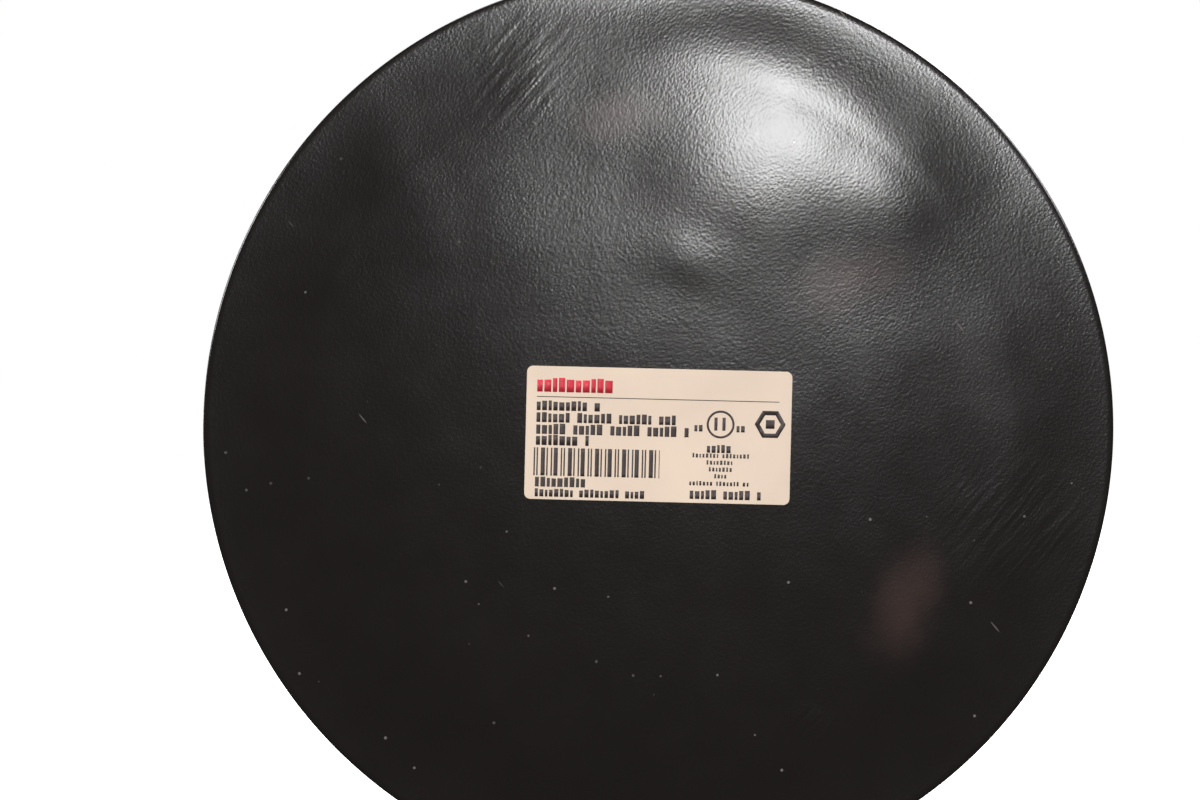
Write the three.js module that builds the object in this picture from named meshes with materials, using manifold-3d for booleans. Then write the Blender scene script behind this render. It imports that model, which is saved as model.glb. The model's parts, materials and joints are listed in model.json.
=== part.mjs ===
// Vandal-resistant dome camera for a wall or a ceiling, as an assembly of separate pieces.
// Millimetres. The model is built standing on its mounting pad, with +Z out through the dome, and the
// whole group is then turned so that the pad faces +Y, the dome points to -Y and +Z is up on the wall.
// The origin is the centre of the mounting pad's outer face.
//
// The sizes grow from the inside out. The camera module sets the bubble, the bubble sets the cover's
// screws, and the screws set the casting and the pad. The heights add up from the pad to the bubble.

import * as THREE from "three";
import { mergeVertices } from "three/addons/utils/BufferGeometryUtils.js";
import Module from "manifold-3d";

// ---------------------------------------------------------------- driving dimensions

// Clearances
const SEAT_GAP = 0.1; // between faces that touch
const RUN_GAP = 0.3; // between pieces that move past each other
const SHANK_GAP = 0.3; // round a screw's shank

// Camera module. Distances along the lens are from the tilt axis.
const COLLAR_RADIUS = 19.5;
const COLLAR_FLANGE = 2;
const COLLAR_FLANGE_THICKNESS = 2;
const LENS_THREAD_RADIUS = 12.5;
const IRIS_RADIUS = 15;
const IRIS_LENGTH = 4.6;
const IRIS_MOTOR_WIDTH = 12;
const IRIS_MOTOR_RISE = 2.5; // above the iris housing
const TUBE_RADIUS = 10; // inner tube that the two rings turn on
const TUBE_BORE = 8;
const RING_RADIUS = 13.5;
const RING_FLUTES = 10;
const ZOOM_LENGTH = 6;
const FOCUS_LENGTH = 7;
const STOP_LENGTH = 1.9; // fixed collar between the two rings
const LENS_FRONT_RADIUS = 12.5;
const LENS_FRONT_LENGTH = 12.8;
const GLASS_RADIUS = 9.6;
const GLASS_EDGE = 1;
const GLASS_DOME = 2.2;
const GLASS_SETBACK = 1.6;
const GLASS_PROUD = 0.6; // dome past its seat
const LEVER_RADIUS = 1.2;
const LEVER_NECK = 1.2; // between a ring and its lever's head
const LEVER_HEAD_RADIUS = 2.3;
const LEVER_HEAD_LENGTH = 4.3;
const ZOOM_LEVER_ANGLE = THREE.MathUtils.degToRad(-30);
const FOCUS_LEVER_ANGLE = THREE.MathUtils.degToRad(-150);
const HOUSING_HALF = 17.5;
const HOUSING_CORNER = 6;
const HOUSING_WALL = 1.4;
const HOUSING_LENGTH = 15.2;
const HOUSING_PORT_WIDTH = 14; // opening for the board's connector
const HOUSING_PORT_HEIGHT = 6;
const HOUSING_PORT_EDGE = 4; // from the housing's edge
const FILTER_WIDTH = 14;
const FILTER_DEPTH = 12;
const FILTER_THICKNESS = 1.6;
const FILTER_GAP = 1.6; // in front of the filter
const SENSOR_WIDTH = 10;
const SENSOR_DEPTH = 9;
const SENSOR_HEIGHT = 2.4;
const BOARD_SPACING = 3.8; // between the module's two boards
const REST_TILT = THREE.MathUtils.degToRad(35);

// Cradle, brackets and tilt locks
const CRADLE_WALL = 3;
const CRADLE_HALF = 5; // half its length along the lens
const WASHER_THICKNESS = 1.4;
const BRACKET_THICKNESS = 2.5;
const BRACKET_WIDTH = 16;
const BRACKET_HOLE = 4;
const FOOT_TO_LINER = 2;
const BRACKET_SCREW_RADIUS = 1.5;
const PIVOT_RADIUS = 2;
const TILT_KNOB_RADIUS = 6;
const TILT_KNOB_THICKNESS = 5;
const SWING_GAP = 5; // between the module's sweep and the turntable

// Liner: the black shroud between the camera module and the bubble
const LINER_GAP = 1.5;
const LINER_WALL = 1.5;
const LINER_SKIRT = 8;
const LINER_LEG_WIDTH = 12;
const LINER_LEG_IN = 0.6; // leg inside the shell
const LINER_LEG_SET_IN = 0.4; // leg from the shell's outside
const SLOT_GAP = 2.5; // beside the lens

// Dome bubble, with the flange that clamps it
const BUBBLE_CLEARANCE = 2.1; // outside the lens's front edge
const BUBBLE_WALL = 3;
const BUBBLE_SKIRT = 4; // straight wall between the half sphere and the flange
const FLANGE_WIDTH = 7;
const FLANGE_THICKNESS = 3;
const GASKET_THICKNESS = 1;
const RETAINER_THICKNESS = 1.5;
const RETAINER_SCREW_RADIUS = 1.25;
const RETAINER_SCREW_DEPTH = 2.8; // thread in the cover

// Cover ring
const COVER_WALL = 3;
const COVER_WALL_HEIGHT = 6.4;
const COVER_SHOULDER = 13.5; // height of the rounded shoulder
const COVER_LIP_WIDTH = 6; // flat rim round the bubble
const COVER_LIP_RISE = 2.5; // above the bubble's centre
const COVER_LIP_CHAMFER = 1;
const COVER_GAP = 0.6; // open joint between the cover and the casting
const COVER_INSET = 0.3;

// Cover screws and the bosses that take them
const SCREW_RADIUS = 2;
const SCREW_HEAD_RADIUS = 3.8;
const SCREW_HEAD_HEIGHT = 2.8;
const SCREW_GRIP = 8.2; // cover metal under the head
const SCREW_THREAD = 11; // length inside the casting's boss
const SCREW_WASHER = 0.8;
const BOSS_RADIUS = 6.5;
const BOSS_TO_FLANGE = 2;
const BOSS_INTO_WALL = 0.2;
const BOSS_SET_IN = 0.5; // the cover's bosses, behind its outside

// Base casting
const BASE_WALL = 3.2;
const BASE_FLOOR = 3;
const BASE_CHAMFER = 1.2;
const RIM_WIDTH = 5;
const RIM_DEPTH = 5;
const SEAL_WIDTH = 1.8;
const SEAL_GROOVE = 1.4;
const MOUNT_HOLE_RADIUS = 2.6;
const CABLE_HOLE_RADIUS = 9.5;
const CABLE_HOLE_Y = 20;

// Conduit port in the casting's side, and its plug
const PORT_RADIUS = 9.6;
const PORT_WALL = 3.4;
const PORT_FACE_MARGIN = 0.4; // spot face beyond the boss
const PORT_FACE_DEPTH = 1.5;
const PORT_RISE = 0.8; // boss above the floor
const PLUG_FLANGE = 2.4; // head beyond the port's edge
const PLUG_HEAD = 2;
const PLUG_SHANK = 8;
const PLUG_SEAL = 0.8;
const PLUG_SLOT = 2.2;

// Turntable, its track and its clips
const WELL_DEPTH = 12; // wiring space under the turntable
const TRACK_WALL = 8;
const TRACK_INSET = 4; // inside the turntable's edge
const TRACK_NOTCH = 12; // where the wires pass
const TURNTABLE_THICKNESS = 3;
const TURNTABLE_HOLE = 20;
const CLIP_ROOM = 5; // between the turntable's edge and the screw bosses
const CLIP_WIDTH = 8;
const CLIP_THICKNESS = 2;
const CLIP_HOOK = 2; // reach over the turntable
const CLIP_GAP = 0.5;
const CLIP_FOOT = 7;
const CLIP_SCREW_RADIUS = 1.25;
const CLIP_SCREW_THREAD = 2; // length in the casting's floor
const PILOT_DEPTH = 2.5;
const EAR_MARGIN = 3; // beyond the clip screw
const PAN_KNOB_RADIUS = 5;
const PAN_KNOB_HEIGHT = 6;
const PAN_KNOB_ANGLE = THREE.MathUtils.degToRad(135);

// Boards
const BOARD = 1.6;
const POST_RADIUS = 2.5;
const POST_HEIGHT = 3;
const POST_INSET = 5; // from the power board's edge
const BOARD_EDGE = 2; // between the power board and the track
const BOARD_STRAIGHT_Y = 2; // straight edge of the power board
const PARTS_GAP = 1; // between the power board's parts and the turntable
const TERMINAL_AT = [-14, -6];
const TERMINAL_PITCH = 5.5; // between its two ways
const TERMINAL_DEPTH = 8;
const TERMINAL_WELL_RADIUS = 1.8;
const TERMINAL_MOUTH = 3.2;
const SOCKET_AT = [14, -6];
const SOCKET_WIDTH = 7.2;
const SOCKET_DEPTH = 7;
const SOCKET_BARREL = 6;
const CAPACITOR_AT = [-4, -24];
const CAPACITOR_RADIUS = 4;
const CONTROL_POST_HEIGHT = 2.5;
const CONTROL_WIDTH = 26;
const CONTROL_DEPTH = 13;
const CONTROL_EDGE = 6; // inside the turntable's edge
const KEY_RADIUS = 2.2;
const KEY_TRAVEL = 0.4;
const KEY_STAND = 1; // above the switch body
const KEY_BODY = 7;
const KEY_BODY_HEIGHT = 3.2;
const KEY_X = -5;

// Mounting pad and rating label
const PAD_THICKNESS = 2.5;
const PAD_OVERHANG = 0.5; // past the casting
const LABEL_WIDTH = 42.8;
const LABEL_HEIGHT = 21.5;
const LABEL_THICKNESS = 0.2;
const LABEL_CORNER = 1;
const LABEL_MARGIN = 0.2; // pocket round the label
const LABEL_TURN = THREE.MathUtils.degToRad(1.4);
const LABEL_DROP = 1.3; // below the pad's centre

// Roundness of the meshes, in sides per turn
const ROUND = 32;
const MEDIUM = 20;
const SMALL = 12;
const HOLE = 8;

// ---------------------------------------------------------------- sizes that follow from them

// Along the lens, from the tilt axis
const collarFront = CRADLE_HALF + RUN_GAP + COLLAR_FLANGE_THICKNESS;
const collarBack = -CRADLE_HALF - RUN_GAP;
const irisStart = collarFront + SEAT_GAP;
const irisEnd = irisStart + IRIS_LENGTH;
const zoomStart = irisEnd + RUN_GAP;
const stopStart = zoomStart + ZOOM_LENGTH + RUN_GAP;
const focusStart = stopStart + STOP_LENGTH + RUN_GAP;
const tubeEnd = focusStart + FOCUS_LENGTH + RUN_GAP;
const lensFrontStart = tubeEnd + SEAT_GAP;
const lensReach = lensFrontStart + LENS_FRONT_LENGTH;
const glassBack = lensReach - GLASS_SETBACK - GLASS_EDGE - GLASS_DOME + GLASS_PROUD;
const housingBack = collarBack - SEAT_GAP - HOUSING_LENGTH;
const filterBack = collarBack - FILTER_GAP - FILTER_THICKNESS;
const sensorBoardBack = filterBack - 2 * SEAT_GAP - SENSOR_HEIGHT - BOARD;
const signalBoardBack = sensorBoardBack - BOARD_SPACING - BOARD;
const housingCornerRadius = (HOUSING_HALF - HOUSING_CORNER) * Math.SQRT2 + HOUSING_CORNER;
const moduleSwing = Math.hypot(housingCornerRadius, housingBack);

// Outwards along the tilt axis
const cradleInner = COLLAR_RADIUS + RUN_GAP;
const cradleOuter = cradleInner + CRADLE_WALL;
const washerX = cradleOuter + SEAT_GAP;
const bracketX = washerX + WASHER_THICKNESS + SEAT_GAP;
const knobX = bracketX + BRACKET_THICKNESS + SEAT_GAP;

// Outwards from the camera's axis
const bubbleInner = Math.hypot(lensReach, LENS_FRONT_RADIUS) + BUBBLE_CLEARANCE;
const bubbleOuter = bubbleInner + BUBBLE_WALL;
const linerOuter = bubbleInner - LINER_GAP;
const linerInner = linerOuter - LINER_WALL;
const slotHalf = LENS_FRONT_RADIUS + SLOT_GAP;
const footEndX = linerInner - FOOT_TO_LINER;
const footScrewX = (knobX + footEndX) / 2;
const lipRadius = bubbleOuter + RUN_GAP;
const flangeRadius = bubbleOuter + FLANGE_WIDTH;
const retainerCircle = bubbleOuter + FLANGE_WIDTH / 2;
const screwCircle = flangeRadius + BOSS_TO_FLANGE + BOSS_RADIUS;
const castingInner = screwCircle + BOSS_RADIUS - BOSS_INTO_WALL;
const castingRadius = castingInner + BASE_WALL;
const coverRadius = castingRadius - COVER_INSET;
const padRadius = castingRadius + PAD_OVERHANG;
const sealRadius = coverRadius - COVER_WALL / 2;
const turntableRadius = screwCircle - BOSS_RADIUS - CLIP_ROOM;
const trackOuter = turntableRadius - TRACK_INSET;
const trackInner = trackOuter - TRACK_WALL;
const clipScrewCircle = turntableRadius + CLIP_FOOT;
const earReach = clipScrewCircle + EAR_MARGIN;
const powerBoardRadius = trackInner - BOARD_EDGE;

// Heights, from the pad's outer face
const floorZ = PAD_THICKNESS + BASE_FLOOR;
const trackTopZ = floorZ + WELL_DEPTH;
const turntableZ = trackTopZ + RUN_GAP;
const turntableTopZ = turntableZ + TURNTABLE_THICKNESS;
const pivotZ = turntableTopZ + SWING_GAP + moduleSwing; // also the centre of the half sphere
const coverTopZ = pivotZ + COVER_LIP_RISE;
const shoulderZ = coverTopZ - COVER_SHOULDER;
const coverZ = shoulderZ - COVER_WALL_HEIGHT;
const rimZ = coverZ - COVER_GAP;
const headSeatZ = coverZ + SCREW_GRIP;
const flangeTopZ = pivotZ - BUBBLE_SKIRT;
const flangeZ = flangeTopZ - FLANGE_THICKNESS;
const gasketSeatZ = flangeTopZ + GASKET_THICKNESS + 2 * SEAT_GAP;
const retainerZ = flangeZ - SEAT_GAP - RETAINER_THICKNESS;
const linerSkirtZ = pivotZ - LINER_SKIRT;
const footZ = turntableTopZ + SEAT_GAP;
const earZ = floorZ + SEAT_GAP;
const earTopZ = earZ + CLIP_THICKNESS;
const clipFootZ = earTopZ + SEAT_GAP;
const powerBoardZ = floorZ + POST_HEIGHT + SEAT_GAP;
const powerPartsZ = powerBoardZ + BOARD + SEAT_GAP;
const powerPartsTopZ = turntableZ - PARTS_GAP;
const powerPartsHeight = powerPartsTopZ - powerPartsZ;
const controlPostZ = turntableTopZ + CONTROL_POST_HEIGHT;
const controlPartsZ = controlPostZ + 2 * SEAT_GAP + BOARD;

// Conduit port, along +X
const portBossRadius = PORT_RADIUS + PORT_WALL;
const portFaceRadius = portBossRadius + PORT_FACE_MARGIN;
const portZ = floorZ + PORT_RISE + portBossRadius;
const portFaceX = Math.sqrt(castingRadius ** 2 - portFaceRadius ** 2) - PORT_FACE_DEPTH;
const plugHeadX = portFaceX + PLUG_SEAL + 2 * SEAT_GAP;

// ---------------------------------------------------------------- materials

const finish = (color, roughness, metalness, more = {}) =>
  new THREE.MeshStandardMaterial({ color, roughness, metalness, ...more });

const painted = finish(0x1b1b1d, 0.5, 0.3);
const foamRubber = finish(0x14110f, 0.6, 0);
const sealRubber = finish(0x0c0c0c, 0.75, 0);
const labelStock = finish(0xe6d3c2, 0.55, 0);
const clearPlastic = finish(0xd8dee2, 0.05, 0, { transparent: true, opacity: 0.25 });
const glass = finish(0x2a3050, 0.03, 0);
const blackPlastic = finish(0x121213, 0.45, 0);
const greyPlastic = finish(0x5a5c5e, 0.5, 0);
const steel = finish(0xb9bbbd, 0.3, 1);
const zinc = finish(0x9c9ea2, 0.4, 1);
const circuitBoard = finish(0x1d5a33, 0.45, 0);
const chipBlack = finish(0x101012, 0.5, 0);
const terminalGreen = finish(0x2e8b57, 0.5, 0);
const nylon = finish(0xe8e4d8, 0.5, 0);

// ---------------------------------------------------------------- shape helpers

const wasm = await Module();
wasm.setup();

const MERGE_DISTANCE = 1e-4;
const THROUGH = 1; // how far a cutting tool runs past the face it cuts

/** A closed geometry as a manifold-3d solid. */
function toSolid(geometry) {
  const bare = geometry.index ? geometry.toNonIndexed() : geometry.clone();
  bare.deleteAttribute("normal");
  bare.deleteAttribute("uv");
  const merged = mergeVertices(bare, MERGE_DISTANCE);
  return new wasm.Manifold(
    new wasm.Mesh({
      numProp: 3,
      vertProperties: merged.attributes.position.array,
      triVerts: new Uint32Array(merged.index.array),
    }),
  );
}

/** A manifold-3d solid as a geometry. */
function toGeometry(solid) {
  const mesh = solid.getMesh();
  const geometry = new THREE.BufferGeometry();
  geometry.setAttribute("position", new THREE.BufferAttribute(mesh.vertProperties, 3));
  geometry.setIndex(new THREE.BufferAttribute(mesh.triVerts, 1));
  geometry.computeVertexNormals();
  return geometry;
}

/** The geometries joined into one body. */
function join(...geometries) {
  return toGeometry(geometries.map(toSolid).reduce((whole, next) => whole.add(next)));
}

/** A geometry with the tools cut out of it. */
function cut(geometry, ...tools) {
  return toGeometry(tools.map(toSolid).reduce((left, tool) => left.subtract(tool), toSolid(geometry)));
}

/** What two geometries share. */
function common(first, second) {
  return toGeometry(toSolid(first).intersect(toSolid(second)));
}

/** A profile of [radius, height] corners turned about Z. The corners run anticlockwise. */
function turned(profile, sides = ROUND) {
  const points = profile.map(([radius, height]) => new THREE.Vector2(radius, height));
  return new THREE.LatheGeometry(points, sides).rotateX(Math.PI / 2);
}

/** A ring about Z with a square section. */
function ring(inner, outer, low, high, sides = ROUND) {
  return turned([[inner, low], [outer, low], [outer, high], [inner, high], [inner, low]], sides);
}

/** A solid round bar about Z. */
function bar(radius, low, high, sides = SMALL) {
  return turned([[0, low], [radius, low], [radius, high], [0, high]], sides);
}

/** A solid round knob or button about Z, with its upper edge chamfered. */
function button(radius, low, high, chamfer, sides = SMALL) {
  const edge = [[radius, high - chamfer], [radius - chamfer, high]];
  return turned([[0, low], [radius, low], ...edge, [0, high]], sides);
}

/** A block between two corners. */
function block(x0, x1, y0, y1, z0, z1) {
  const box = new THREE.BoxGeometry(x1 - x0, y1 - y0, z1 - z0);
  return box.translate((x0 + x1) / 2, (y0 + y1) / 2, (z0 + z1) / 2);
}

/** A flat outline made thick, from one height to another. */
function plate(shape, low, high, curveSegments = 3) {
  const settings = { depth: high - low, bevelEnabled: false, curveSegments };
  return new THREE.ExtrudeGeometry(shape, settings).translate(0, 0, low);
}

/** A rectangle with round corners, about the origin. */
function roundedRectangle(width, height, radius) {
  const x = width / 2;
  const y = height / 2;
  const shape = new THREE.Shape();
  shape.moveTo(-x + radius, -y);
  shape.lineTo(x - radius, -y);
  shape.absarc(x - radius, -y + radius, radius, -Math.PI / 2, 0);
  shape.lineTo(x, y - radius);
  shape.absarc(x - radius, y - radius, radius, 0, Math.PI / 2);
  shape.lineTo(-x + radius, y);
  shape.absarc(-x + radius, y - radius, radius, Math.PI / 2, Math.PI);
  shape.lineTo(-x, -y + radius);
  shape.absarc(-x + radius, -y + radius, radius, Math.PI, 1.5 * Math.PI);
  return shape;
}

/** Points of an elliptical arc in the [radius, height] plane, both ends included. */
function arc(centre, across, up, from, to, steps) {
  return Array.from({ length: steps + 1 }, (_, i) => {
    const angle = from + ((to - from) * i) / steps;
    return [centre[0] + across * Math.cos(angle), centre[1] + up * Math.sin(angle)];
  });
}

/** A geometry made along Z, laid along +X instead. */
const alongX = (geometry) => geometry.rotateY(Math.PI / 2);

/** A geometry moved out from the axis and then turned about it. */
const outAt = (geometry, distance, angle) => geometry.translate(distance, 0, 0).rotateZ(angle);

/** Angles, in radians, of places evenly round the axis. */
const places = (count, firstDegrees) =>
  Array.from({ length: count }, (_, i) => THREE.MathUtils.degToRad(firstDegrees + (i * 360) / count));

/** Round holes or posts at the same distance from the axis, one at each angle. */
const barsAt = (angles, distance, radius, low, high, sides = HOLE) =>
  angles.map((angle) => outAt(bar(radius, low, high, sides), distance, angle));

/** Pan-head screw along Z: the underside of its head is at the height seat, and the shank goes down. */
function panHeadScrew(shankRadius, length, seat) {
  const headRadius = shankRadius * 1.85;
  const headHeight = shankRadius * 1.3;
  const slotHalfWidth = shankRadius * 0.3;
  const shank = bar(shankRadius, seat - length, seat + headHeight / 4, HOLE);
  const head = button(headRadius, seat, seat + headHeight, headHeight * 0.4);
  const slotZ = seat + headHeight / 2;
  const reach = headRadius + THROUGH;
  const slot = block(-reach, reach, -slotHalfWidth, slotHalfWidth, slotZ, seat + headHeight + THROUGH);
  return cut(join(shank, head), slot);
}

/** Knob with flutes round its edge. */
function flutedKnob(radius, low, high, flutes) {
  const blank = button(radius, low, high, 0.8, 2 * flutes);
  const grooves = barsAt(places(flutes, 0), radius, 0.7, low - THROUGH, high + THROUGH, 4);
  return cut(blank, ...grooves);
}

const SCREW_ANGLES = places(3, 90); // cover screws
const CLIP_ANGLES = places(3, 30);
const MOUNT_ANGLES = places(3, 60);

const camera = new THREE.Group();
camera.rotation.x = Math.PI / 2; // pad to +Y, dome to -Y

const tilting = new THREE.Group(); // its +Z is the lens's axis, and its origin is on the tilt axis
tilting.position.z = pivotZ;
tilting.rotation.x = REST_TILT;
camera.add(tilting);

/** Adds one named piece. */
function piece(name, geometry, material, parent = camera) {
  const mesh = new THREE.Mesh(geometry, material);
  mesh.name = name;
  parent.add(mesh);
}

// ---------------------------------------------------------------- pad and label

/** The label's outline in place, grown all round by a margin. */
function labelPlate(margin, low, high) {
  const width = LABEL_WIDTH + 2 * margin;
  const height = LABEL_HEIGHT + 2 * margin;
  const flat = plate(roundedRectangle(width, height, LABEL_CORNER + margin), low, high);
  return flat.rotateZ(LABEL_TURN).translate(0, -LABEL_DROP, 0);
}

/** Foam rubber pad that seals the camera to the wall, with a shallow pocket for the label. */
function mountingPad() {
  const blank = bar(padRadius, 0, PAD_THICKNESS - SEAT_GAP, 2 * ROUND);
  return cut(blank, labelPlate(LABEL_MARGIN, -THROUGH, LABEL_THICKNESS + SEAT_GAP));
}

piece("mounting_pad", mountingPad(), foamRubber);
piece("rating_label", labelPlate(0, 0, LABEL_THICKNESS), labelStock);

// ---------------------------------------------------------------- base casting

/** Centres of the posts under the power board. */
const boardPosts = [
  [-powerBoardRadius + POST_INSET, -POST_INSET],
  [powerBoardRadius - POST_INSET, -POST_INSET],
  [0, -powerBoardRadius + POST_INSET],
];

/** Cup of the base, with its thickened rim. */
function baseCup() {
  return turned([
    [0, PAD_THICKNESS],
    [castingRadius - BASE_CHAMFER, PAD_THICKNESS],
    [castingRadius, PAD_THICKNESS + BASE_CHAMFER],
    [castingRadius, rimZ],
    [castingRadius - RIM_WIDTH, rimZ],
    [castingRadius - RIM_WIDTH, rimZ - RIM_DEPTH],
    [castingInner, rimZ - RIM_DEPTH - (RIM_WIDTH - BASE_WALL)],
    [castingInner, floorZ],
    [0, floorZ],
  ]);
}

/** Die-cast base: a cup with screw bosses, a conduit port, board posts and a seal groove. */
function baseCasting() {
  const bosses = barsAt(SCREW_ANGLES, screwCircle, BOSS_RADIUS, floorZ - THROUGH, rimZ - SEAT_GAP, SMALL);
  const portBoss = alongX(bar(portBossRadius, castingInner - BOSS_RADIUS, portFaceX, MEDIUM));
  const posts = boardPosts.map(([x, y]) =>
    bar(POST_RADIUS, floorZ - THROUGH, floorZ + POST_HEIGHT, HOLE).translate(x, y, 0),
  );
  const blank = join(baseCup(), ...bosses, portBoss.translate(0, 0, portZ), ...posts);

  const outside = castingRadius + THROUGH;
  const portHole = alongX(bar(PORT_RADIUS, castingInner - 2 * BOSS_RADIUS, outside, MEDIUM));
  const portFace = alongX(bar(portFaceRadius, portFaceX, outside, MEDIUM));
  const grooveHalf = SEAL_WIDTH / 2 + SEAT_GAP;
  const grooveZ = rimZ - SEAL_GROOVE;
  const groove = ring(sealRadius - grooveHalf, sealRadius + grooveHalf, grooveZ, rimZ + THROUGH);
  const below = PAD_THICKNESS - THROUGH;
  const above = floorZ + THROUGH;
  const cableHole = bar(CABLE_HOLE_RADIUS, below, above, MEDIUM).translate(0, CABLE_HOLE_Y, 0);
  const threads = barsAt(
    SCREW_ANGLES,
    screwCircle,
    SCREW_RADIUS + SHANK_GAP,
    coverZ - SCREW_THREAD - THROUGH,
    rimZ + THROUGH,
  );
  const mountHoles = barsAt(MOUNT_ANGLES, clipScrewCircle, MOUNT_HOLE_RADIUS, below, above);
  const pilotRadius = CLIP_SCREW_RADIUS + SHANK_GAP;
  const pilots = barsAt(CLIP_ANGLES, clipScrewCircle, pilotRadius, floorZ - PILOT_DEPTH, above);
  return cut(
    blank,
    portFace.translate(0, 0, portZ),
    portHole.translate(0, 0, portZ),
    groove,
    cableHole,
    ...threads,
    ...mountHoles,
    ...pilots,
  );
}

/** O-ring between the casting and the cover. */
function coverSeal() {
  const low = rimZ - SEAL_GROOVE + SEAT_GAP;
  return ring(sealRadius - SEAL_WIDTH / 2, sealRadius + SEAL_WIDTH / 2, low, coverZ - SEAT_GAP);
}

piece("base_casting", baseCasting(), painted);
piece("cover_seal", coverSeal(), sealRubber);

// ---------------------------------------------------------------- conduit plug

const plugHeadRadius = PORT_RADIUS + PLUG_FLANGE;

/** Slotted plug that closes the conduit port. */
function conduitPlug() {
  const shankRadius = PORT_RADIUS - RUN_GAP;
  const shank = alongX(bar(shankRadius, plugHeadX - PLUG_SHANK, plugHeadX + PLUG_HEAD / 4, MEDIUM));
  const head = alongX(button(plugHeadRadius, plugHeadX, plugHeadX + PLUG_HEAD, PLUG_HEAD / 4, MEDIUM));
  const slotX = plugHeadX + PLUG_HEAD / 2;
  const slotHalfLength = plugHeadRadius * 0.7;
  const slotHalfWidth = PLUG_SLOT / 2;
  const slotEndX = plugHeadX + PLUG_HEAD + THROUGH;
  const slot = block(slotX, slotEndX, -slotHalfLength, slotHalfLength, -slotHalfWidth, slotHalfWidth);
  return cut(join(shank, head), slot).translate(0, 0, portZ);
}

/** Flat ring under the plug's head. */
function plugSeal() {
  const low = portFaceX + SEAT_GAP;
  const flat = ring(PORT_RADIUS + SEAT_GAP, plugHeadRadius - 0.4, low, low + PLUG_SEAL, MEDIUM);
  return alongX(flat).translate(0, 0, portZ);
}

piece("conduit_plug", conduitPlug(), painted);
piece("conduit_plug_seal", plugSeal(), sealRubber);

// ---------------------------------------------------------------- turntable track and clips

/** Ring that carries the turntable, with three ears under the clips and a notch for the wires. */
function turntableTrack() {
  const wall = ring(trackInner, trackOuter, earZ, trackTopZ);
  const earHalf = CLIP_WIDTH / 2 + 1;
  const ears = CLIP_ANGLES.map((angle) =>
    block(trackOuter - 2, earReach, -earHalf, earHalf, earZ, earTopZ).rotateZ(angle),
  );
  const notchZ = trackTopZ - WELL_DEPTH * 0.4;
  const notchHalf = TRACK_NOTCH / 2;
  const notch = block(-notchHalf, notchHalf, 0, trackOuter + THROUGH, notchZ, trackTopZ + THROUGH);
  const holeRadius = CLIP_SCREW_RADIUS + SHANK_GAP;
  const holes = barsAt(CLIP_ANGLES, clipScrewCircle, holeRadius, earZ - THROUGH, earTopZ + THROUGH);
  return cut(join(wall, ...ears), notch, ...holes);
}

/** Clip that hooks over the turntable's edge. */
function turntableClip() {
  const post = turntableRadius + CLIP_GAP;
  const hookEnd = turntableRadius - CLIP_HOOK;
  const hookZ = turntableTopZ + RUN_GAP;
  const outline = new THREE.Shape([
    new THREE.Vector2(earReach, clipFootZ),
    new THREE.Vector2(earReach, clipFootZ + CLIP_THICKNESS),
    new THREE.Vector2(post + CLIP_THICKNESS, clipFootZ + CLIP_THICKNESS),
    new THREE.Vector2(post + CLIP_THICKNESS, hookZ + CLIP_THICKNESS),
    new THREE.Vector2(hookEnd, hookZ + CLIP_THICKNESS),
    new THREE.Vector2(hookEnd, hookZ),
    new THREE.Vector2(post, hookZ),
    new THREE.Vector2(post, clipFootZ),
  ]);
  const bent = plate(outline, -CLIP_WIDTH / 2, CLIP_WIDTH / 2).rotateX(Math.PI / 2);
  const hole = bar(CLIP_SCREW_RADIUS + SHANK_GAP, earTopZ, clipFootZ + CLIP_THICKNESS + THROUGH, HOLE);
  return cut(bent, hole.translate(clipScrewCircle, 0, 0));
}

piece("turntable_track", turntableTrack(), greyPlastic);
CLIP_ANGLES.forEach((angle, i) => {
  const seat = clipFootZ + CLIP_THICKNESS + SEAT_GAP;
  const screw = panHeadScrew(CLIP_SCREW_RADIUS, seat - floorZ + CLIP_SCREW_THREAD, seat);
  piece(`turntable_clip_${i + 1}`, turntableClip().rotateZ(angle), zinc);
  piece(`clip_screw_${i + 1}`, outAt(screw, clipScrewCircle, angle), steel);
});

// ---------------------------------------------------------------- power board in the well

/** D-shaped board that fills half of the well. */
function powerBoard() {
  const top = powerBoardZ + BOARD;
  const reach = powerBoardRadius + THROUGH;
  const half = block(-reach, reach, -reach, BOARD_STRAIGHT_Y, powerBoardZ - THROUGH, top + THROUGH);
  return common(bar(powerBoardRadius, powerBoardZ, top, ROUND), half);
}

/** Two-way screw terminal for the supply. */
function powerTerminal() {
  const y = TERMINAL_DEPTH / 2;
  const body = block(-TERMINAL_PITCH, TERMINAL_PITCH, -y, y, powerPartsZ, powerPartsTopZ);
  const ways = [-TERMINAL_PITCH / 2, TERMINAL_PITCH / 2];
  const wellZ = powerPartsTopZ - powerPartsHeight * 0.4;
  const well = bar(TERMINAL_WELL_RADIUS, wellZ, powerPartsTopZ + THROUGH, HOLE);
  const wells = ways.map((x) => well.clone().translate(x, 0, 0));
  const mouthHalf = TERMINAL_MOUTH / 2;
  const mouthLow = powerPartsZ + powerPartsHeight * 0.12;
  const mouthHigh = powerPartsZ + powerPartsHeight * 0.5;
  const mouth = block(-mouthHalf, mouthHalf, y / 2, y + THROUGH, mouthLow, mouthHigh);
  const mouths = ways.map((x) => mouth.clone().translate(x, 0, 0));
  return cut(body, ...wells, ...mouths).translate(...TERMINAL_AT, 0);
}

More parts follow.
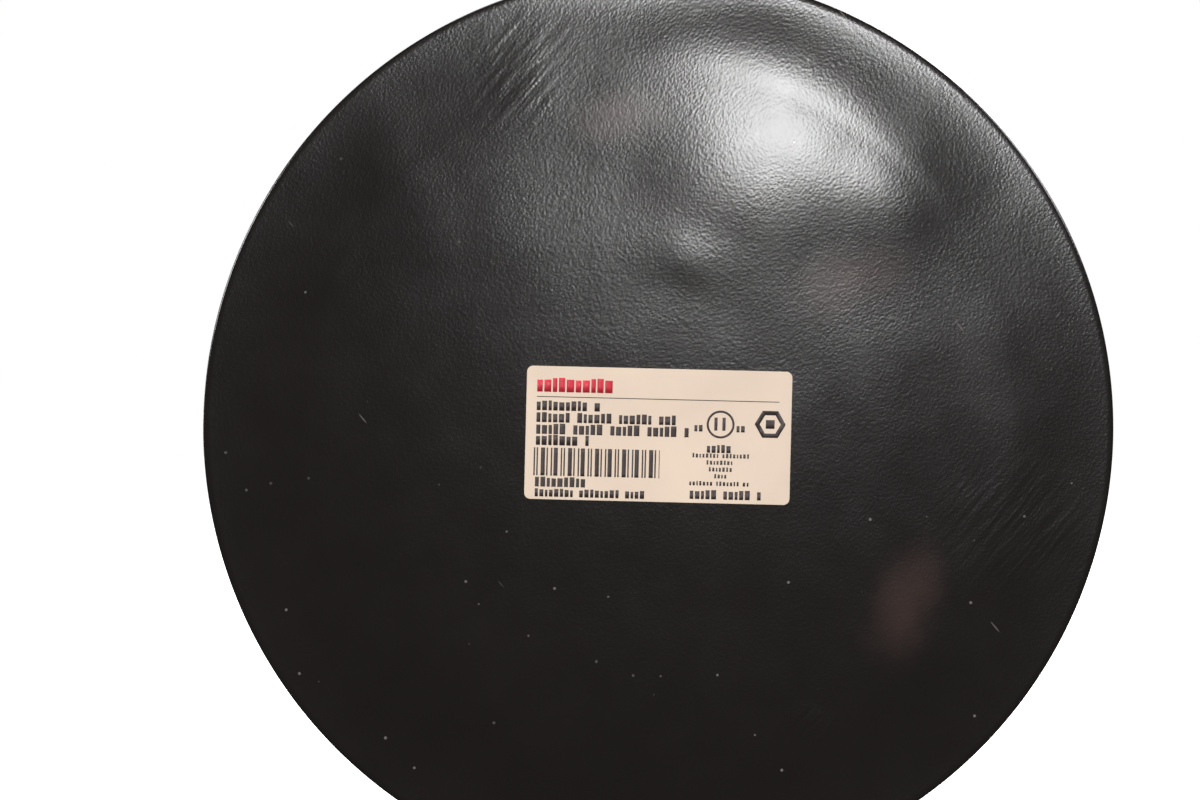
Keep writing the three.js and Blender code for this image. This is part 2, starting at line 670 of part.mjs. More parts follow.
/** Coaxial video socket, lying along Y. */
function videoSocket() {
  const x = SOCKET_WIDTH / 2;
  const outer = powerPartsHeight * 0.4;
  const body = block(-x, x, -SOCKET_DEPTH, 0, powerPartsZ, powerPartsTopZ);
  const barrel = ring(outer / 2, outer, -0.5, SOCKET_BARREL - 0.5, SMALL).rotateX(-Math.PI / 2);
  barrel.translate(0, 0, powerPartsZ + powerPartsHeight / 2);
  return join(body, barrel).translate(...SOCKET_AT, 0);
}

/** Round capacitor standing on the power board. */
function powerCapacitor() {
  return bar(CAPACITOR_RADIUS, powerPartsZ, powerPartsTopZ).translate(...CAPACITOR_AT, 0);
}

piece("power_board", powerBoard(), circuitBoard);
piece("power_terminal", powerTerminal(), terminalGreen);
piece("video_socket", videoSocket(), zinc);
piece("power_capacitor", powerCapacitor(), chipBlack);

// ---------------------------------------------------------------- dome cover

const lipOuter = bubbleOuter + COVER_LIP_WIDTH;
const locatingInner = flangeRadius + RUN_GAP; // wall round the bubble's flange
const locatingOuter = locatingInner + COVER_WALL;

/** The cover's outside, from its foot to its flat rim, set in by a margin. */
function coverOutside(margin, steps) {
  const across = coverRadius - margin - lipOuter;
  return arc([lipOuter, shoulderZ], across, COVER_SHOULDER - margin, 0, Math.PI / 2, steps);
}

/** Cover shell: straight wall, rounded shoulder, lip round the bubble, and the bubble's seat. */
function coverShell() {
  const wallInner = coverRadius - COVER_WALL;
  const innerAcross = wallInner - lipOuter;
  const innerUp = COVER_SHOULDER - COVER_WALL;
  const start = Math.acos((locatingOuter - lipOuter) / innerAcross);
  return turned([
    [coverRadius, coverZ],
    ...coverOutside(0, 5),
    [lipRadius + COVER_LIP_CHAMFER, coverTopZ],
    [lipRadius, coverTopZ - COVER_LIP_CHAMFER],
    [lipRadius, gasketSeatZ],
    [locatingInner, gasketSeatZ],
    [locatingInner, flangeZ],
    [locatingOuter, flangeZ],
    ...arc([lipOuter, shoulderZ - 1], innerAcross, innerUp, start, 0, 3),
    [wallInner, coverZ],
    [coverRadius, coverZ],
  ]);
}

/** Die-cast ring that holds the bubble, with a boss and a sunk seat at each screw. */
function coverRing() {
  const bossInner = screwCircle - BOSS_RADIUS - THROUGH;
  const outside = coverOutside(BOSS_SET_IN, 5).filter(([radius]) => radius > bossInner);
  const solid = turned([
    [bossInner, coverZ],
    [coverRadius - BOSS_SET_IN, coverZ],
    ...outside,
    [bossInner, outside.at(-1)[1]],
    [bossInner, coverZ],
  ]);
  const bosses = barsAt(SCREW_ANGLES, screwCircle, BOSS_RADIUS, coverZ, coverTopZ, SMALL);
  const blank = join(coverShell(), ...bosses.map((boss) => common(solid, boss)));

  const wellRadius = SCREW_HEAD_RADIUS + RUN_GAP;
  const holeRadius = SCREW_RADIUS + SHANK_GAP;
  const pilotRadius = RETAINER_SCREW_RADIUS + SHANK_GAP;
  const pilotTop = gasketSeatZ + RETAINER_SCREW_DEPTH + RUN_GAP;
  return cut(
    blank,
    ...barsAt(SCREW_ANGLES, screwCircle, wellRadius, headSeatZ, coverTopZ + THROUGH, SMALL),
    ...barsAt(SCREW_ANGLES, screwCircle, holeRadius, coverZ - THROUGH, headSeatZ + THROUGH),
    ...barsAt(CLIP_ANGLES, retainerCircle, pilotRadius, gasketSeatZ - THROUGH, pilotTop),
  );
}

/** A piece that the retainer's screws clamp, with its holes. */
function clamped(geometry) {
  const radius = RETAINER_SCREW_RADIUS + SHANK_GAP;
  const holes = barsAt(CLIP_ANGLES, retainerCircle, radius, retainerZ - THROUGH, gasketSeatZ + THROUGH);
  return cut(geometry, ...holes);
}

/** Clear half-sphere bubble with a straight skirt and a flange. */
function domeBubble() {
  return turned([
    [flangeRadius, flangeZ],
    [flangeRadius, flangeTopZ],
    [bubbleOuter, flangeTopZ],
    ...arc([0, pivotZ], bubbleOuter, bubbleOuter, 0, Math.PI / 2, 6),
    ...arc([0, pivotZ], bubbleInner, bubbleInner, Math.PI / 2, 0, 6),
    [bubbleInner, flangeZ],
    [flangeRadius, flangeZ],
  ]);
}

/** Tamper-resistant cover screw: a round head with a hexagon socket round a pin. */
function coverScrew() {
  const seat = headSeatZ + SCREW_WASHER + 2 * SEAT_GAP;
  const top = seat + SCREW_HEAD_HEIGHT;
  const shank = bar(SCREW_RADIUS, coverZ - SCREW_THREAD, seat + SCREW_HEAD_HEIGHT / 4, HOLE);
  const head = button(SCREW_HEAD_RADIUS, seat, top, SCREW_HEAD_HEIGHT * 0.3);
  const socket = ring(0.6, 2.1, seat + SCREW_HEAD_HEIGHT * 0.4, top + THROUGH, 6);
  return cut(join(shank, head), socket);
}

/** Sealing washer under a cover screw's head. */
function screwWasher() {
  const low = headSeatZ + SEAT_GAP;
  return ring(SCREW_RADIUS + SHANK_GAP, SCREW_HEAD_RADIUS, low, low + SCREW_WASHER, SMALL);
}

const gasket = ring(lipRadius + 0.5, flangeRadius, flangeTopZ + SEAT_GAP, gasketSeatZ - SEAT_GAP);
const retainer = ring(bubbleInner + 0.5, flangeRadius, retainerZ, flangeZ - SEAT_GAP);

piece("cover_ring", coverRing(), painted);
piece("dome_bubble", clamped(domeBubble()), clearPlastic);
piece("bubble_gasket", clamped(gasket), sealRubber);
piece("bubble_retainer", clamped(retainer), zinc);

CLIP_ANGLES.forEach((angle, i) => {
  const length = gasketSeatZ + RETAINER_SCREW_DEPTH - retainerZ;
  const screw = panHeadScrew(RETAINER_SCREW_RADIUS, length, 0).rotateX(Math.PI);
  const placed = screw.translate(0, 0, retainerZ - SEAT_GAP);
  piece(`retainer_screw_${i + 1}`, outAt(placed, retainerCircle, angle), steel);
});

SCREW_ANGLES.forEach((angle, i) => {
  piece(`cover_screw_${i + 1}`, outAt(coverScrew(), screwCircle, angle), steel);
  piece(`screw_washer_${i + 1}`, outAt(screwWasher(), screwCircle, angle), sealRubber);
});

// ---------------------------------------------------------------- turntable and brackets

const panLockCircle = (trackInner + trackOuter) / 2;
const controlY = turntableRadius - CONTROL_EDGE - CONTROL_DEPTH / 2;

/** Block where the liner's leg on the +X side passes, grown by a margin. */
function linerLeg(low, high, margin) {
  const half = LINER_LEG_WIDTH / 2 + margin;
  const inside = linerInner - LINER_LEG_IN - margin;
  return block(inside, linerOuter - LINER_LEG_SET_IN + margin, -half, half, low, high);
}

/** Turntable disc with its wire hole, screw holes and the posts of the control board. */
function turntable() {
  const below = turntableZ - THROUGH;
  const above = turntableTopZ + THROUGH;
  const disc = ring(TURNTABLE_HOLE, turntableRadius, turntableZ, turntableTopZ);
  const postX = CONTROL_WIDTH / 2 - POST_RADIUS;
  const posts = [-postX, postX].map((x) =>
    bar(POST_RADIUS - 0.5, turntableTopZ - THROUGH, controlPostZ, HOLE).translate(x, controlY, 0),
  );
  const sides = places(2, 0);
  const lockHole = bar(PIVOT_RADIUS + SHANK_GAP, below, above, HOLE);
  return cut(
    join(disc, ...posts),
    ...barsAt(sides, footScrewX, BRACKET_SCREW_RADIUS + SHANK_GAP, below, above),
    outAt(lockHole, panLockCircle, PAN_KNOB_ANGLE),
    ...sides.map((angle) => linerLeg(below, above, RUN_GAP).rotateZ(angle)),
  );
}

/** Bent steel bracket on the +X side: an arm with a round top, and a foot that points outwards. */
function bracket() {
  const half = BRACKET_WIDTH / 2;
  const arm = new THREE.Shape();
  arm.moveTo(-half, footZ);
  arm.lineTo(half, footZ);
  arm.lineTo(half, pivotZ);
  arm.absarc(0, pivotZ, half, 0, Math.PI);
  arm.lineTo(-half, footZ);
  const upright = plate(arm, 0, BRACKET_THICKNESS, 6).rotateX(Math.PI / 2).rotateZ(Math.PI / 2);
  const footTopZ = footZ + BRACKET_THICKNESS;
  const foot = block(bracketX, footEndX, -half, half, footZ, footTopZ);
  const footHole = bar(BRACKET_SCREW_RADIUS + SHANK_GAP, footZ - THROUGH, footTopZ + THROUGH, HOLE);
  const pivotHole = alongX(bar(PIVOT_RADIUS + SHANK_GAP, bracketX - THROUGH, knobX + THROUGH, SMALL));
  const window = alongX(bar(BRACKET_HOLE, bracketX - THROUGH, knobX + THROUGH, SMALL));
  return cut(
    join(upright.translate(bracketX, 0, 0), foot),
    footHole.translate(footScrewX, 0, 0),
    pivotHole.translate(0, 0, pivotZ),
    window.translate(0, 0, (footTopZ + pivotZ) / 2),
  );
}

/** Thumb screw that clamps the turntable to its track. */
function panLockScrew() {
  const low = turntableTopZ + SEAT_GAP;
  const shank = bar(PIVOT_RADIUS, trackTopZ + SEAT_GAP, low + THROUGH, HOLE);
  return join(shank, flutedKnob(PAN_KNOB_RADIUS, low, low + PAN_KNOB_HEIGHT, 8));
}

piece("turntable", turntable(), blackPlastic);
["right", "left"].forEach((hand, i) => {
  const angle = i * Math.PI;
  const footTopZ = footZ + BRACKET_THICKNESS;
  const screw = panHeadScrew(BRACKET_SCREW_RADIUS, footTopZ - turntableZ, footTopZ + SEAT_GAP);
  piece(`bracket_${hand}`, bracket().rotateZ(angle), zinc);
  piece(`bracket_screw_${hand}`, outAt(screw, footScrewX, angle), steel);
});
piece("pan_lock_screw", outAt(panLockScrew(), panLockCircle, PAN_KNOB_ANGLE), nylon);

// ---------------------------------------------------------------- control board on the turntable

/** Small board with the set-up key. */
function controlBoard() {
  const low = controlPostZ + SEAT_GAP;
  const outline = roundedRectangle(CONTROL_WIDTH, CONTROL_DEPTH, 1.5);
  return plate(outline, low, low + BOARD).translate(0, controlY, 0);
}

/** Switch body under the set-up key, with a well that the key travels in. */
function keySwitch() {
  const half = KEY_BODY / 2;
  const top = controlPartsZ + KEY_BODY_HEIGHT;
  const body = block(-half, half, -half, half, controlPartsZ, top);
  const well = bar(KEY_RADIUS + RUN_GAP, controlPartsZ + 1, top + THROUGH, SMALL);
  return cut(body, well).translate(KEY_X, controlY, 0);
}

/** The key itself, standing clear of the well's floor by its travel. */
function setupKey() {
  const low = controlPartsZ + 1 + KEY_TRAVEL + SEAT_GAP;
  const top = controlPartsZ + KEY_BODY_HEIGHT + KEY_STAND;
  return button(KEY_RADIUS, low, top, 0.5).translate(KEY_X, controlY, 0);
}

piece("control_board", controlBoard(), circuitBoard);
piece("setup_key_switch", keySwitch(), chipBlack);
piece("setup_key", setupKey(), nylon);

// ---------------------------------------------------------------- liner

/** Black half-sphere shroud with a slot for the lens, and two legs that stand in the turntable. */
function domeLiner() {
  const shell = turned([
    [linerOuter, linerSkirtZ],
    ...arc([0, pivotZ], linerOuter, linerOuter, 0, Math.PI / 2, 5),
    ...arc([0, pivotZ], linerInner, linerInner, Math.PI / 2, 0, 5),
    [linerInner, linerSkirtZ],
    [linerOuter, linerSkirtZ],
  ]);
  const reach = linerOuter + THROUGH;
  const roundEnd = bar(slotHalf, pivotZ, pivotZ + reach, MEDIUM);
  const run = block(-slotHalf, slotHalf, -reach, 0, linerSkirtZ - THROUGH, pivotZ + reach);
  const legs = places(2, 0).map((angle) =>
    linerLeg(turntableZ + SEAT_GAP, linerSkirtZ + 2, 0).rotateZ(angle),
  );
  return join(cut(shell, join(roundEnd, run)), ...legs);
}

piece("dome_liner", domeLiner(), blackPlastic);

// ---------------------------------------------------------------- cradle and tilt locks

/** Ring that the camera module turns in, with a boss for the tilt lock at each side. */
function tiltCradle() {
  const wall = ring(cradleInner, cradleOuter - 0.6, -CRADLE_HALF, CRADLE_HALF, MEDIUM);
  const cheeks = places(2, 0).map((angle) =>
    alongX(bar(CRADLE_HALF, cradleInner, cradleOuter, SMALL)).rotateZ(angle),
  );
  const bore = bar(cradleInner, -CRADLE_HALF - THROUGH, CRADLE_HALF + THROUGH, MEDIUM);
  const reach = cradleOuter + THROUGH;
  const holes = alongX(bar(PIVOT_RADIUS + SHANK_GAP, -reach, reach, SMALL));
  return cut(join(wall, ...cheeks), bore, holes);
}

/** Spring washer between a bracket and the cradle, as a flat ring. */
function frictionWasher() {
  const inner = PIVOT_RADIUS + SHANK_GAP;
  return alongX(ring(inner, CRADLE_HALF - 0.2, washerX, washerX + WASHER_THICKNESS, SMALL));
}

/** Thumb screw through a bracket into the cradle. */
function tiltLockScrew() {
  const shank = bar(PIVOT_RADIUS, cradleInner + 0.2, knobX + THROUGH, HOLE);
  return alongX(join(shank, flutedKnob(TILT_KNOB_RADIUS, knobX, knobX + TILT_KNOB_THICKNESS, 8)));
}

piece("tilt_cradle", tiltCradle(), greyPlastic, tilting);
["right", "left"].forEach((hand, i) => {
  piece(`friction_washer_${hand}`, frictionWasher().rotateZ(i * Math.PI), zinc, tilting);
  piece(`tilt_lock_${hand}`, tiltLockScrew().rotateZ(i * Math.PI), blackPlastic, tilting);
});

// ---------------------------------------------------------------- camera module

/** Round collar that turns in the cradle and holds the lens. */
function moduleCollar() {
  const bore = LENS_THREAD_RADIUS + RUN_GAP;
  const flange = COLLAR_RADIUS + COLLAR_FLANGE;
  return turned([
    [bore, collarBack],
    [COLLAR_RADIUS, collarBack],
    [COLLAR_RADIUS, collarFront - COLLAR_FLANGE_THICKNESS],
    [flange, collarFront - COLLAR_FLANGE_THICKNESS],
    [flange, collarFront],
    [bore, collarFront],
    [bore, collarBack],
  ], MEDIUM);
}

/** Rounded square behind the collar, with an opening for the board's connector. */
function moduleHousing() {
  const front = collarBack - SEAT_GAP;
  const size = 2 * HOUSING_HALF;
  const inside = size - 2 * HOUSING_WALL;
  const shell = plate(roundedRectangle(size, size, HOUSING_CORNER), housingBack, front);
  const hollow = plate(
    roundedRectangle(inside, inside, HOUSING_CORNER - HOUSING_WALL),
    housingBack + HOUSING_WALL,
    front - HOUSING_WALL,
  );
  const lightHole = bar(LENS_THREAD_RADIUS, front - HOUSING_WALL - THROUGH, front + THROUGH, MEDIUM);
  const portLow = -HOUSING_HALF + HOUSING_PORT_EDGE;
  const portHalf = HOUSING_PORT_WIDTH / 2;
  const port = block(
    -portHalf,
    portHalf,
    portLow,
    portLow + HOUSING_PORT_HEIGHT,
    housingBack - THROUGH,
    housingBack + HOUSING_WALL + THROUGH,
  );
  return cut(shell, hollow, lightHole, port);
}

/** Square board that fits the housing. */
function moduleBoard(low) {
  const side = 2 * (HOUSING_HALF - HOUSING_WALL - RUN_GAP);
  return plate(roundedRectangle(side, side, HOUSING_CORNER - HOUSING_WALL), low, low + BOARD);
}

/** Lens body: thread in the collar, iris housing with its motor, and the tube under the rings. */
function lensBody() {
  const stopRadius = RING_RADIUS - 1;
  const barrel = turned([
    [TUBE_BORE, collarBack + 1],
    [LENS_THREAD_RADIUS, collarBack + 1],
    [LENS_THREAD_RADIUS, irisStart],
    [IRIS_RADIUS, irisStart],
    [IRIS_RADIUS, irisEnd],
    [TUBE_RADIUS, irisEnd],
    [TUBE_RADIUS, stopStart],
    [stopRadius, stopStart],
    [stopRadius, stopStart + STOP_LENGTH],
    [TUBE_RADIUS, stopStart + STOP_LENGTH],
    [TUBE_RADIUS, tubeEnd],
    [TUBE_BORE, tubeEnd],
    [TUBE_BORE, collarBack + 1],
  ], MEDIUM);
  const motorHalf = IRIS_MOTOR_WIDTH / 2;
  const motorTop = IRIS_RADIUS + IRIS_MOTOR_RISE;
  return join(barrel, block(-motorHalf, motorHalf, TUBE_RADIUS, motorTop, irisStart, irisEnd));
}

/** Lens front barrel with a flared mouth. */
function lensFront() {
  const glassSeat = GLASS_RADIUS + SEAT_GAP;
  return turned([
    [TUBE_BORE, lensFrontStart],
    [LENS_FRONT_RADIUS, lensFrontStart],
    [LENS_FRONT_RADIUS, lensReach - 0.6],
    [LENS_FRONT_RADIUS - 0.6, lensReach],
    [LENS_FRONT_RADIUS - 1.4, lensReach],
    [glassSeat, lensReach - GLASS_SETBACK],
    [glassSeat, glassBack - SEAT_GAP],
    [TUBE_BORE, glassBack - SEAT_GAP],
    [TUBE_BORE, lensFrontStart],
  ], MEDIUM);
}

/** Front lens element: flat behind, domed in front. */
function frontElement() {
  const edgeZ = glassBack + GLASS_EDGE;
  const dome = arc([0, edgeZ], GLASS_RADIUS, GLASS_DOME, 0, Math.PI / 2, 4);
  return turned([[0, glassBack], [GLASS_RADIUS, glassBack], ...dome], MEDIUM);
}

/** Ring on the lens, fluted round its edge, with a threaded hole for its lever. */
function lensRing(start, length, leverAngle) {
  const blank = ring(TUBE_RADIUS + RUN_GAP, RING_RADIUS, start, start + length, MEDIUM);
  const flutes = places(RING_FLUTES, 180 / RING_FLUTES);
  const grooves = barsAt(flutes, RING_RADIUS, 0.5, start - THROUGH, start + length + THROUGH, 4);
  const hole = alongX(bar(LEVER_RADIUS + SHANK_GAP, TUBE_RADIUS, RING_RADIUS + THROUGH, HOLE));
  return cut(blank, ...grooves, hole.translate(0, 0, start + length / 2).rotateZ(leverAngle));
}

/** Thumb screw that moves a lens ring and locks it. */
function ringLever(start, length, angle) {
  const headStart = RING_RADIUS + LEVER_NECK;
  const shank = bar(LEVER_RADIUS, TUBE_RADIUS + 2 * RUN_GAP, headStart + THROUGH, HOLE);
  const head = bar(LEVER_HEAD_RADIUS, headStart, headStart + LEVER_HEAD_LENGTH, SMALL);
  return alongX(join(shank, head)).translate(0, 0, start + length / 2).rotateZ(angle);
}

/** Glass plate in front of the image sensor. */
function irCutFilter() {
  const outline = roundedRectangle(FILTER_WIDTH, FILTER_DEPTH, 1);
  return plate(outline, filterBack, filterBack + FILTER_THICKNESS);
}

/** Image sensor in its square package. */
function imageSensor() {
  const x = SENSOR_WIDTH / 2;
  const y = SENSOR_DEPTH / 2;
  const low = sensorBoardBack + BOARD + SEAT_GAP;
  return block(-x, x, -y, y, low, low + SENSOR_HEIGHT);
}

piece("module_collar", moduleCollar(), blackPlastic, tilting);
piece("module_housing", moduleHousing(), blackPlastic, tilting);
piece("ir_cut_filter", irCutFilter(), glass, tilting);
piece("image_sensor", imageSensor(), chipBlack, tilting);
piece("sensor_board", moduleBoard(sensorBoardBack), circuitBoard, tilting);
piece("signal_board", moduleBoard(signalBoardBack), circuitBoard, tilting);
piece("lens_body", lensBody(), blackPlastic, tilting);
piece("lens_front", lensFront(), blackPlastic, tilting);
piece("front_element", frontElement(), glass, tilting);
piece("zoom_ring", lensRing(zoomStart, ZOOM_LENGTH, ZOOM_LEVER_ANGLE), blackPlastic, tilting);
piece("zoom_lever", ringLever(zoomStart, ZOOM_LENGTH, ZOOM_LEVER_ANGLE), steel, tilting);
piece("focus_ring", lensRing(focusStart, FOCUS_LENGTH, FOCUS_LEVER_ANGLE), blackPlastic, tilting);
piece("focus_lever", ringLever(focusStart, FOCUS_LENGTH, FOCUS_LEVER_ANGLE), steel, tilting);

export default camera;
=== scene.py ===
"""Looks of a vandal-resistant dome camera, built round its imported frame.

Each sub-assembly is a class. Its seats come from the frame's boxes and joints, and its own fields hold the
sizes of what the frame doesn't say. Solids are shaped in millimetres, standing on the mounting pad with +Z
out through the dome, and then turned to hang on the wall.
"""

import json
import logging
import math
from dataclasses import dataclass, field
from enum import Enum
from functools import cache

import bmesh
import bpy
from mathutils import Matrix, Vector, noise


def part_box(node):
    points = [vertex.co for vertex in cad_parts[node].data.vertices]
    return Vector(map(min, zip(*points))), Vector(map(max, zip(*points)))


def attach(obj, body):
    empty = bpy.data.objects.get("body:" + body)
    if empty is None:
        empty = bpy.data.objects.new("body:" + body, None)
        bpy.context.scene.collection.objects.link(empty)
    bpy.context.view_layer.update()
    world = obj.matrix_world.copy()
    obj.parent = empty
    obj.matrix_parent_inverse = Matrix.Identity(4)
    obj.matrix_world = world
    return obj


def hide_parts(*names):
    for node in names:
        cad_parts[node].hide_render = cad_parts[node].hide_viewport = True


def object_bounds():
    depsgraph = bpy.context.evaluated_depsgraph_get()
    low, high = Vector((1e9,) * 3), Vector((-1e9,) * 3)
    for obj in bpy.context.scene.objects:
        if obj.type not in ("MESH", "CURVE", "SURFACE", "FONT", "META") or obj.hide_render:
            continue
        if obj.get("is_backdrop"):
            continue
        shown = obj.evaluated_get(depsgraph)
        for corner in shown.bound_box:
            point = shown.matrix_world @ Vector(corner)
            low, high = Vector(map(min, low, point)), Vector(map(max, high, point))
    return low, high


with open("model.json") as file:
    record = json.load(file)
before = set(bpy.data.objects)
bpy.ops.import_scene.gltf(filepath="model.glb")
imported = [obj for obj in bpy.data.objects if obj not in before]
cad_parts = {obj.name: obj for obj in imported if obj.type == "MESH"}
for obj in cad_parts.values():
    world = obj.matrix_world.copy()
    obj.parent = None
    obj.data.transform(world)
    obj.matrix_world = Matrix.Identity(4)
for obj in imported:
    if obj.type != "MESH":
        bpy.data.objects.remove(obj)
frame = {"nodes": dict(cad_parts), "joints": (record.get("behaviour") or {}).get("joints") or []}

log = logging.getLogger("dome_camera")

MM = 0.001
TURN = 360.0
ROUND = 160  # sides of a large round piece
MEDIUM = 96
SMALL = 40
THROUGH = 1.0  # how far a cutting tool runs past the face it cuts
AXIS = 1e-6  # radii below this are on the axis
RAGGED = 3.0  # how far the edge of a soft patch wanders
ANY_DEPTH = 10.0  # a patch's half size through the face, in metres, so that depth doesn't count
SPLIT = 1e-5  # how near a cut a vertex counts as on it, when a flat solid is divided
ANGLE = 32.0  # edges sharper than this are bevelled
HANGING = Matrix(((1, 0, 0, 0), (0, 0, -1, 0), (0, 1, 0, 0), (0, 0, 0, 1)))

Point = tuple[float, float]
Profile = list[Point]
Colour = tuple[float, float, float]
Patch = tuple[float, float, float, float, float]


# ---------------------------------------------------------------- solids


class Combine(Enum):
    """Ways to combine two solids."""

    JOIN = "UNION"
    CUT = "DIFFERENCE"
    SHARE = "INTERSECT"


def arc(centre: Point, across: float, up: float, start: float, end: float, steps: int) -> Profile:
    """Points of an elliptical arc, both ends included.

    Args:
        centre: Centre of the arc.
        across: Half width.
        up: Half height.
        start: First angle in degrees.
        end: Last angle in degrees.
        steps: Number of chords.

    Returns:
        The points in order.
    """
    angles = [math.radians(start + (end - start) * i / steps) for i in range(steps + 1)]
    return [(centre[0] + across * math.cos(a), centre[1] + up * math.sin(a)) for a in angles]


def rounded_rectangle(width: float, height: float, corner: float, steps: int = 8) -> Profile:
    """Outline of a rectangle with round corners about the origin.

    Args:
        width: Size along the first axis.
        height: Size along the second axis.
        corner: Radius of the corners.
        steps: Chords in each corner.

    Returns:
        The outline, anticlockwise.
    """
    x, y = width / 2 - corner, height / 2 - corner
    centres = [(x, -y), (x, y), (-x, y), (-x, -y)]
    outline: Profile = []
    for quarter, centre in enumerate(centres):
        start = 90.0 * quarter - 90.0
        outline += arc(centre, corner, corner, start, start + 90.0, steps)
    return outline


def places(count: int, first: float = 0.0) -> list[float]:
    """Angles in degrees, evenly round a turn."""
    return [first + TURN * i / count for i in range(count)]


@dataclass
class Solid:
    """A closed mesh in millimetres. Operators combine solids, and the methods give moved copies."""

    mesh: bpy.types.Mesh

    @classmethod
    def from_bmesh(cls, shape: bmesh.types.BMesh) -> "Solid":
        """A solid from a finished bmesh, with its faces turned outwards."""
        bmesh.ops.recalc_face_normals(shape, faces=shape.faces)
        mesh = bpy.data.meshes.new("solid")
        shape.to_mesh(mesh)
        shape.free()
        return cls(mesh)

    @classmethod
    def turned(cls, profile: Profile, sides: int = ROUND) -> "Solid":
        """Turns a profile about +Z.

        Args:
            profile: Pairs of radius and height. It starts and ends on the axis, or closes on itself.
            sides: Sides of the round.

        Returns:
            The turned solid.
        """
        shape = bmesh.new()
        closed = profile[0] == profile[-1]
        rings = []
        for radius, height in profile[:-1] if closed else profile:
            spots = sides if radius > AXIS else 1
            steps = [math.tau * i / spots for i in range(spots)]
            spokes = [(radius * math.cos(a), radius * math.sin(a), height) for a in steps]
            rings.append([shape.verts.new(spoke) for spoke in spokes])
        following = rings[1:] + rings[:1] if closed else rings[1:]
        for low, high in zip(rings, following):
            for i in range(sides):
                corners = [low[i % len(low)], low[(i + 1) % sides % len(low)]]
                corners += [high[(i + 1) % sides % len(high)], high[i % len(high)]]
                face = list(dict.fromkeys(corners))
                if len(face) > 2:
                    shape.faces.new(face)
        return cls.from_bmesh(shape)

    @classmethod
    def ring(cls, inner: float, outer: float, low: float, high: float, sides: int = ROUND) -> "Solid":
        """A ring with a square section."""
        return cls.turned([(inner, low), (outer, low), (outer, high), (inner, high), (inner, low)], sides)

    @classmethod
    def bar(cls, radius: float, low: float, high: float, sides: int = SMALL) -> "Solid":
        """A round bar along +Z."""
        return cls.turned([(0, low), (radius, low), (radius, high), (0, high)], sides)

    @classmethod
    def plate(cls, outline: Profile, low: float, high: float) -> "Solid":
        """A flat outline made thick along +Z."""
        shape = bmesh.new()
        lower = [shape.verts.new((x, y, low)) for x, y in outline]
        upper = [shape.verts.new((x, y, high)) for x, y in outline]
        shape.faces.new(lower)
        shape.faces.new(upper)
        for i, _ in enumerate(outline):
            j = (i + 1) % len(outline)
            shape.faces.new((lower[i], lower[j], upper[j], upper[i]))
        return cls.from_bmesh(shape)

    @classmethod
    def block(cls, x: Point, y: Point, z: Point) -> "Solid":
        """A block between two values on each axis."""
        return cls.plate([(x[0], y[0]), (x[1], y[0]), (x[1], y[1]), (x[0], y[1])], *z)

    @classmethod
    def group(cls, solids: list["Solid"]) -> "Solid":
        """Separate solids in one mesh."""
        shape = bmesh.new()
        for solid in solids:
            shape.from_mesh(solid.mesh)
        mesh = bpy.data.meshes.new("group")
        shape.to_mesh(mesh)
        shape.free()
        return cls(mesh)

    def placed(self, matrix: Matrix) -> "Solid":
        """A copy moved by a matrix."""
        mesh = self.mesh.copy()
        mesh.transform(matrix)
        return Solid(mesh)

    def moved(self, x: float = 0.0, y: float = 0.0, z: float = 0.0) -> "Solid":
        """A copy moved along the axes."""
        return self.placed(Matrix.Translation((x, y, z)))

    def spun(self, degrees: float, axis: str = "Z") -> "Solid":
        """A copy turned about an axis through the origin."""
        return self.placed(Matrix.Rotation(math.radians(degrees), 4, axis))

    def out_at(self, distance: float, degrees: float) -> "Solid":
        """A copy moved out from the axis and then turned about it."""
        return self.moved(distance).spun(degrees)

    def round_at(self, distance: float, angles: list[float]) -> list["Solid"]:
        """Copies at the same distance from the axis, one at each angle."""
        return [self.out_at(distance, angle) for angle in angles]

    def combined(self, other: "Solid", way: Combine) -> "Solid":
        """Combines this solid with another by a Boolean modifier.

        Args:
            other: The second solid.
            way: How they combine.

        Returns:
            The new solid.
        """
        pair = [bpy.data.objects.new("part", solid.mesh) for solid in (self, other)]
        for part in pair:
            bpy.context.scene.collection.objects.link(part)
        modifier = pair[0].modifiers.new("combine", "BOOLEAN")
        modifier.operation = way.value
        modifier.solver = "MANIFOLD"
        modifier.object = pair[1]
        evaluated = pair[0].evaluated_get(bpy.context.evaluated_depsgraph_get())
        mesh = bpy.data.meshes.new_from_object(evaluated)
        for part in pair:
            bpy.data.objects.remove(part)
        return Solid(mesh)

    def __add__(self, other: "Solid") -> "Solid":
        """This solid joined with another."""
        return self.combined(other, Combine.JOIN)

    def __sub__(self, other: "Solid") -> "Solid":
        """This solid with another cut out of it."""
        return self.combined(other, Combine.CUT)

    def __and__(self, other: "Solid") -> "Solid":
        """What this solid and another share."""
        return self.combined(other, Combine.SHARE)

    def without(self, tools: list["Solid"]) -> "Solid":
        """This solid with every tool cut out of it."""
        left = self
        for tool in tools:
            left = left - tool
        return left

    def with_all(self, others: list["Solid"]) -> "Solid":
        """This solid joined with all the others."""
        whole = self
        for other in others:
            whole = whole + other
        return whole


def button(radius: float, low: float, high: float, edge: float, sides: int = SMALL) -> Solid:
    """A round bar along +Z with its upper edge rounded.

    Args:
        radius: Radius of the bar.
        low: Lower height.
        high: Upper height.
        edge: Radius of the rounded edge.
        sides: Sides of the round.

    Returns:
        The bar.
    """
    rounding = arc((radius - edge, high - edge), edge, edge, 0, 90, 5)
    return Solid.turned([(0, low), (radius, low), *rounding, (0, high)], sides)


